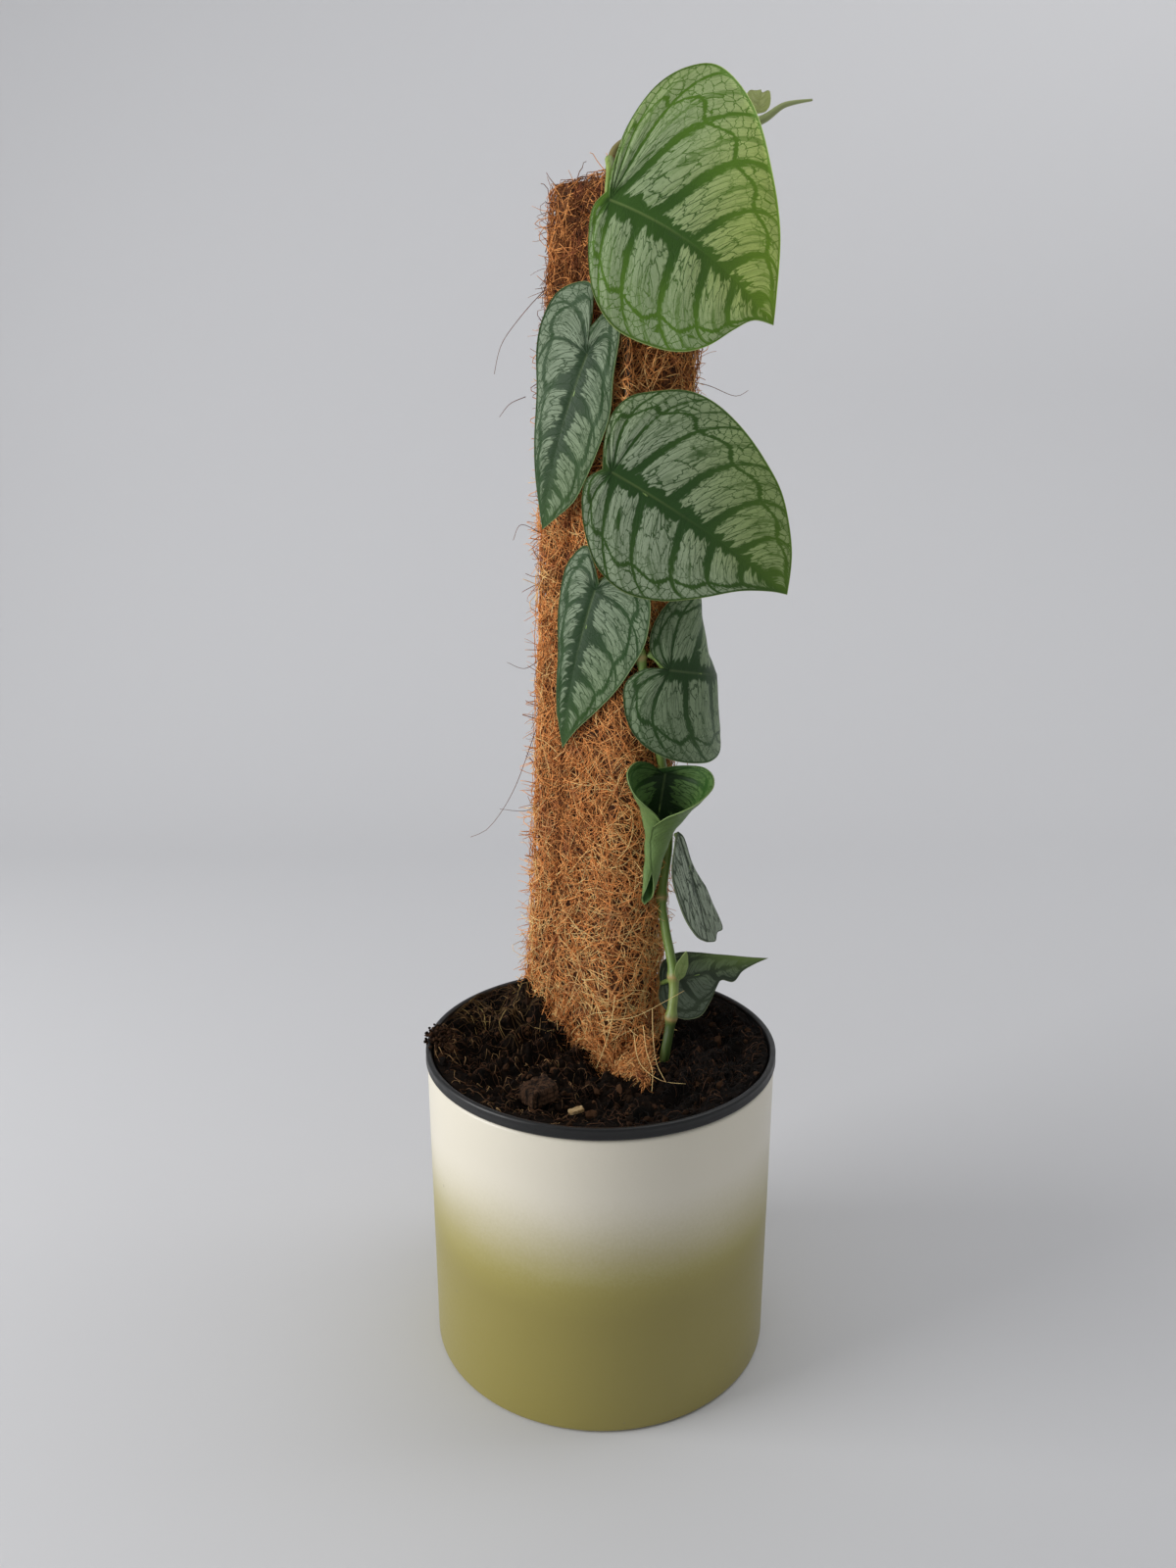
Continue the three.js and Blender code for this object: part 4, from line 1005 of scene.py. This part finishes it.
def make_pots():
    foot, top, height, floor = CACHEPOT_FOOT, CACHEPOT_TOP, CACHEPOT_HEIGHT, CACHEPOT_FLOOR
    low, lip = CACHEPOT_FOOT_ROUND, CACHEPOT_RIM_ROUND
    straight = height - lip - low
    profile = [(0, 0), *rounded(foot - low, low, low, -90, 0, 8),
               *[(foot + (top - foot) * s, low + straight * s) for s in np.linspace(0.05, 1, 14)],
               *rounded(top - lip, height - lip, lip, 15, 165, 8),
               (top - 4, height - 4), (foot - 5.4, floor + 5), (foot - 11, floor), (0, floor)]
    ride(turned("cachepot_shell", profile, glaze_paint()), "ceramic", "cachepot")
    rim, top, lip, round_lip = RIM_RADIUS, RIM_TOP, RIM_LIP, NURSERY_RIM_ROUND
    body, foot, low = BODY_TOP_RADIUS, BODY_FOOT_RADIUS, NURSERY_FOOT
    under, wall = height + POT_GAP, NURSERY_WALL
    profile = [(0, low), (foot - 3, low), (foot, low + 3), (body, under - 1), (body + 0.2, under),
               (rim - 0.9, under), *rounded(rim - 0.9, under + 0.9, 0.9, -80, 0, 4),
               (rim - 0.3, under + 1.9), (rim - 0.15, top - 1.6),
               *rounded(rim - round_lip, top - round_lip, round_lip, 20, 160, 10),
               (rim - lip, top - 1.4), (rim - lip - 0.4, under + 1.4),
               (body - wall, under + 0.5), (foot - wall, low + 4), (foot - 3 - wall, low + 2), (0, low + 2)]
    ride(turned("nursery_pot_shell", profile, plastic_paint()), "plastic", "nursery_pot")


# Soil
def soil_height(x, y):
    lumps = 1.4 * math.sin(0.21 * x + 1.3) * math.cos(0.19 * y - 0.6) + 0.9 * math.sin(0.37 * x - 0.31 * y)
    for at_x, at_y, reach, height in SOIL_BUMPS:
        lumps += height * math.exp(-((x - at_x) ** 2 + (y - at_y) ** 2) / reach**2)
    share = min(max((math.hypot(x, y) - SOIL_BRIM_FROM) / (SOIL_RADIUS - SOIL_BRIM_FROM), 0), 1)
    edge = share * share * (3 - 2 * share)
    clod = noise.fractal(Vector((x, y, 3.0)) * 0.13, 0.8, 2.1, 5)
    crumb = noise.turbulence(Vector((x, y, 9.0)) * 0.3, 3, False)
    rough = 3.4 * clod + 2.4 * crumb - 2.1
    return SOIL_LEVEL + SOIL_BRIM * edge + lumps * (1 - 0.8 * edge) + rough * (1 - 0.75 * edge)


def ground_height(x, y):
    return np.array([soil_height(a, b) for a, b in zip(x.ravel(), y.ravel())]).reshape(x.shape)


def make_soil():
    rings, spokes = 96, 320
    radius = SOIL_RADIUS * np.linspace(1, 0.004, rings)
    angle = TURN * np.arange(spokes) / spokes
    x, y = radius[:, None] * np.cos(angle), radius[:, None] * np.sin(angle)
    top = np.stack([x, y, ground_height(x, y)], axis=-1)
    low = np.stack([SOIL_TAPER * x[0], SOIL_TAPER * y[0], np.full(spokes, SOIL_UNDERSIDE)], axis=-1)
    points = np.concatenate([low[None], top])
    ride(one_piece("soil_ground", points, ring_faces(rings + 1, spokes), soil_paint()), "soil", "soil")
    soil_crumbs()
    soil_fibres()


def on_soil(rng, count):
    radius = SOIL_RADIUS * np.sqrt(rng.uniform(0, 1, count)) * 0.985
    angle = rng.uniform(0, TURN, count)
    return radius * np.cos(angle), radius * np.sin(angle)


def soil_crumbs():
    """Crumbs of all sizes, thickest where soil hangs over the left rim."""
    rng = np.random.default_rng(21)
    ball = bmesh.new()
    bmesh.ops.create_icosphere(ball, subdivisions=1, radius=1)
    ball_points = np.array([v.co[:] for v in ball.verts])
    ball_faces = np.array([[v.index for v in f.verts] for f in ball.faces])
    ball.free()
    count, hanging = 950, 130
    x, y = on_soil(rng, count)
    size = 0.4 + 3.3 * rng.beta(1.1, 4.5, count)
    clump = np.arange(count) < hanging
    x = np.where(clump, np.clip(rng.normal(OVERHANG_X, 2.5, count), -75.3, -64), x)
    y = np.where(clump, rng.normal(OVERHANG_Y, 5.0, count), y)
    size = np.where(clump, 0.5 + 0.35 * size, size)
    shape = Shape()
    for k in range(count):
        squash = rng.uniform(0.55, 1.2, 3)
        spin = np.linalg.qr(rng.normal(0, 1, (3, 3)))[0]
        lumpy = ball_points * (1 + rng.uniform(-0.28, 0.28, (len(ball_points), 1)))
        points = (lumpy * squash) @ spin.T * size[k]
        if clump[k]:
            heap = math.exp(-((y[k] - OVERHANG_Y) / 9) ** 2)
            points += [x[k], y[k], RIM_TOP + rng.uniform(-0.6, 2.4) * heap]
        else:
            points += [x[k], y[k], soil_height(x[k], y[k]) + 0.2 * size[k]]
            outside = np.hypot(points[:, 0], points[:, 1]) > SOIL_RADIUS
            points[outside, :2] *= 0.97
        faces = ball_faces[:, ::-1] if np.linalg.det(spin) < 0 else ball_faces
        tone = rng.uniform(0.1, 0.5) if clump[k] else rng.beta(0.9, 2.6)
        shape.add(points, [faces], tone=np.full(len(points), tone))
    ride(shape.build("soil_crumbs", [crumb_paint()], smooth=False), "soil")


def lying_fibres(rng, x, y, long, curl, radius, steps):
    """Paths and radii of fibres that lie on the soil with their middles a little off it."""
    count = len(x)
    over, back = wander(rng, count, steps, long, curl)
    px, py = x[:, None] + over, y[:, None] + back
    inside = np.minimum(1, (SOIL_RADIUS - 0.5) / np.hypot(px, py))
    px, py = px * inside, py * inside
    arc = np.sin(math.pi * np.linspace(0.05, 1, steps))[None]
    height = ground_height(px, py) + 0.2 + rng.uniform(0.1, 1.8, (count, 1)) * arc
    return np.stack([px, py, height], axis=-1), tapered(rng, radius, count, steps, 0.6)


def soil_fibres():
    """Short peat fibres with two denser tufts, and pale roots behind the pole's left side."""
    rng = np.random.default_rng(22)
    count = 2400
    x, y = on_soil(rng, count)
    for chance, at_x, wide_x, at_y, wide_y in ((0.34, 45, 8, -17, 9), (0.05, -68, 2.0, 2, 6)):
        tuft = rng.uniform(0, 1, count) < chance
        x = np.where(tuft, rng.normal(at_x, wide_x, count), x)
        y = np.where(tuft, rng.normal(at_y, wide_y, count), y)
    paths, radii = lying_fibres(rng, x, y, rng.uniform(3, 11, count), 0.45, (0.08, 0.22), 6)
    # right paints shade towards +x; foot lifts all these fibres alike, as they lie below its fade
    material = fibre_paint("soil_fibre", (18, 12, 8), (96, 64, 42), (196, 158, 108), foot=0.1, right=-0.6)
    fibres("soil_fibres", "soil", paths, radii, rng.beta(1.3, 2.1, count), SOIL_GUIDE, material)
    count = 80
    x, y = rng.normal(-46, 10, count), rng.normal(34, 9, count)
    paths, radii = lying_fibres(rng, x, y, rng.uniform(14, 34, count), 0.12, (0.12, 0.34), 9)
    material = fibre_paint("old_root", (30, 21, 13), (100, 76, 44), (186, 160, 100))
    fibres("soil_roots", "soil", paths, radii, rng.beta(0.9, 1.5, count), SOIL_GUIDE, material)


def make_chip(name, slot, node, at, size, turn, material):
    """A torn flake of bark or wood on the soil: a block of rings at levels, each a share of its width."""
    rng = np.random.default_rng(int(size[0] * 10))
    long, wide, high = size
    sides = 28
    levels = [0.0, 0.14, 0.3, 0.42, 0.6, 0.75, 0.9, 1.0, 1.0]
    shares = [0.9, 1.0, 0.94, 1.0, 0.95, 1.0, 0.96, 0.9, 0.45]
    facets = 1 + 0.05 * rng.normal(0, 1, sides)
    points = []
    for lift, share in zip(levels, shares):
        for k in range(sides):
            angle = TURN * (k + 0.5) / sides
            square = 1 / max(abs(math.cos(angle)), abs(math.sin(angle)))
            square = min(square, 1.38) * facets[k] * (1 + 0.008 * rng.normal())
            a = long / 2 * share * math.cos(angle) * square
            b = wide / 2 * share * math.sin(angle) * square
            points.append((at[0] + a * math.cos(turn) - b * math.sin(turn),
                           at[1] + a * math.sin(turn) + b * math.cos(turn),
                           at[2] + lift * high + 0.12 * a + 0.02 * high * rng.normal()))
    ride(one_piece(name, points, ring_faces(len(levels), sides), material, smooth=False), slot, node)


# Stem
def make_stem():
    steps, sides = 420, 20
    path = smooth_curve(STEM_PATH, steps)
    share = np.linspace(0, 1, steps)
    swell, ring = np.zeros(steps), np.zeros(steps)
    for z in STEM_NODES:
        away = path[:, 2] - z
        swell = np.maximum(swell, 0.85 * np.exp(-((away / 2.2) ** 2)))
        ring = np.maximum(ring, np.exp(-((away + 0.4) ** 2)))
    grown = np.where(share < 0.8, 1, 0)
    taper = np.clip((share - 0.955) / 0.045, 0, 1)
    radii = (np.interp(share, [0, 0.75], STEM_RADII) + swell * grown) * (1 - taper) + STEM_TIP * taper
    points, faces = tubes(path[None], radii[None], sides, (0.25, 1.0, 0.1))
    ridge = 1 + 0.05 * np.cos(3 * TURN * np.arange(sides) / sides)
    centre = np.repeat(path, sides, axis=0)
    points = centre + (points - centre) * np.tile(ridge, steps)[:, None]
    shoot = np.clip((share - 0.88) / 0.03, 0, 1)
    piece = one_piece("stem_body", points, faces, stem_paint(), shoot=np.repeat(shoot, sides),
                      ring=np.repeat(ring * grown * 0.8, sides))
    ride(piece, "stem", "stem")
    rootlets()


def rootlets():
    """Short climbing roots at the nodes, held against the pole."""
    rng = np.random.default_rng(41)
    shape = Shape()
    for z in STEM_NODES[2:]:
        at = int(np.argmin([abs(p[2] - z) for p in STEM_PATH]))
        start = np.array(STEM_PATH[at], float)
        for _ in range(7):
            lean = rng.uniform(-1, 1)
            ends = [start + [rng.uniform(-1, 1), 0.5, rng.uniform(-2, 2)]]
            for k in range(1, 5):
                aside, up = rng.normal(0, 0.6, 2)
                ends.append(ends[0] + [-1.6 * k + aside, 0.5 * k, 1.8 * lean * k + up])
            radii = np.linspace(0.42, 0.2, 14)
            points, faces = tubes(smooth_curve(ends, 14)[None], radii[None], 6, (0.2, 1.0, 0.1))
            shape.add(points, faces, tone=np.full(len(points), rng.uniform(0.1, 0.6)))
    material = fibre_paint("rootlet", (60, 46, 28), (104, 84, 50), (140, 116, 74))
    ride(shape.build("stem_rootlets", [material]), "stem")


# Studio: name, place, aim, width and height in metres, watts
LIGHTS = [
    ("key_light", (-1250, -330, 560), (0, 0, 230), (0.8, 1.0), 15),
    ("top_light", (0, 100, 1500), (0, 0, 200), (1.4, 1.4), 2.5),
    ("wall_light", (1100, 300, 1500), (900, 1200, 500), (1.6, 0.8), 8),
    ("fill_light", (420, -1000, 420), (0, 0, 220), (0.9, 0.9), 0.4),
]
# The camera as fitted to the photo: 27 mm over 36 mm of its 1600 pixels is 1200 pixels of focal length
CAMERA = {"at": (-5.4, -466.8, 366.3), "down": 14.03, "lens": 27, "sensor": 36}


def make_studio():
    """A pale floor that curves up into a wall."""
    front, bend, wall, top, half_width = -1200, 700, 1200, 2600, 2600.0
    radius = wall - bend
    curve = [(bend + radius * math.sin(a), radius - radius * math.cos(a))
             for a in np.linspace(0.1, math.pi / 2, 16)]
    profile = np.array([(front, 0), (bend, 0), *curve, (wall, top)], float)
    left = np.stack([np.full(len(profile), -half_width), profile[:, 0], profile[:, 1]], axis=-1)
    count = len(profile)
    a = np.arange(count - 1)
    plain = Paint("studio_paper", Base_Color=(214, 214, 216), Roughness=0.95)
    shape = Shape()
    shape.add([left, left * [-1, 1, 1]], [np.stack([a, a + count, a + count + 1, a + 1], axis=1)])
    shape.build("studio_sweep", [plain.material])


def softbox(name, at, aim, size, power):
    light = bpy.data.lights.new(name, "AREA")
    light.shape = "RECTANGLE"
    light.size, light.size_y = size
    light.energy = power
    lamp = bpy.data.objects.new(name, light)
    lamp.location = Vector(at) * MM
    lamp.rotation_euler = (Vector(aim) - Vector(at)).to_track_quat("-Z", "Y").to_euler()
    bpy.context.collection.objects.link(lamp)


def light_and_camera():
    for light in LIGHTS:
        softbox(*light)
    scene = bpy.context.scene
    scene.world = bpy.data.worlds.new("studio")
    scene.world.use_nodes = True
    colour, strength = scene.world.node_tree.nodes["Background"].inputs[:2]
    colour.default_value, strength.default_value = (0.95, 0.97, 1.0, 1), 0.3
    scene.view_settings.view_transform = "Standard"
    data = bpy.data.cameras.new("camera")
    data.lens, data.sensor_width, data.clip_start = CAMERA["lens"], CAMERA["sensor"], 0.01
    camera = bpy.data.objects.new("camera", data)
    camera.location = Vector(CAMERA["at"]) * MM
    camera.rotation_euler = (math.radians(90 - CAMERA["down"]), 0, 0)
    bpy.context.collection.objects.link(camera)
    scene.camera = camera


make_pots()
make_soil()
for name, slot, node, at, size, turn, look in FLAKES:
    make_chip(name, slot, node, at, size, turn, bark_paint(*look))
make_pole()
make_stem()
for leaf_name, leaf_data in LEAVES.items():
    make_leaf(leaf_name, leaf_data)
stake_wood = bark_paint("stake_wood", (150, 118, 76), (190, 156, 108), 300)
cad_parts["pole_stake"].data.materials[0] = stake_wood
make_studio()
light_and_camera()
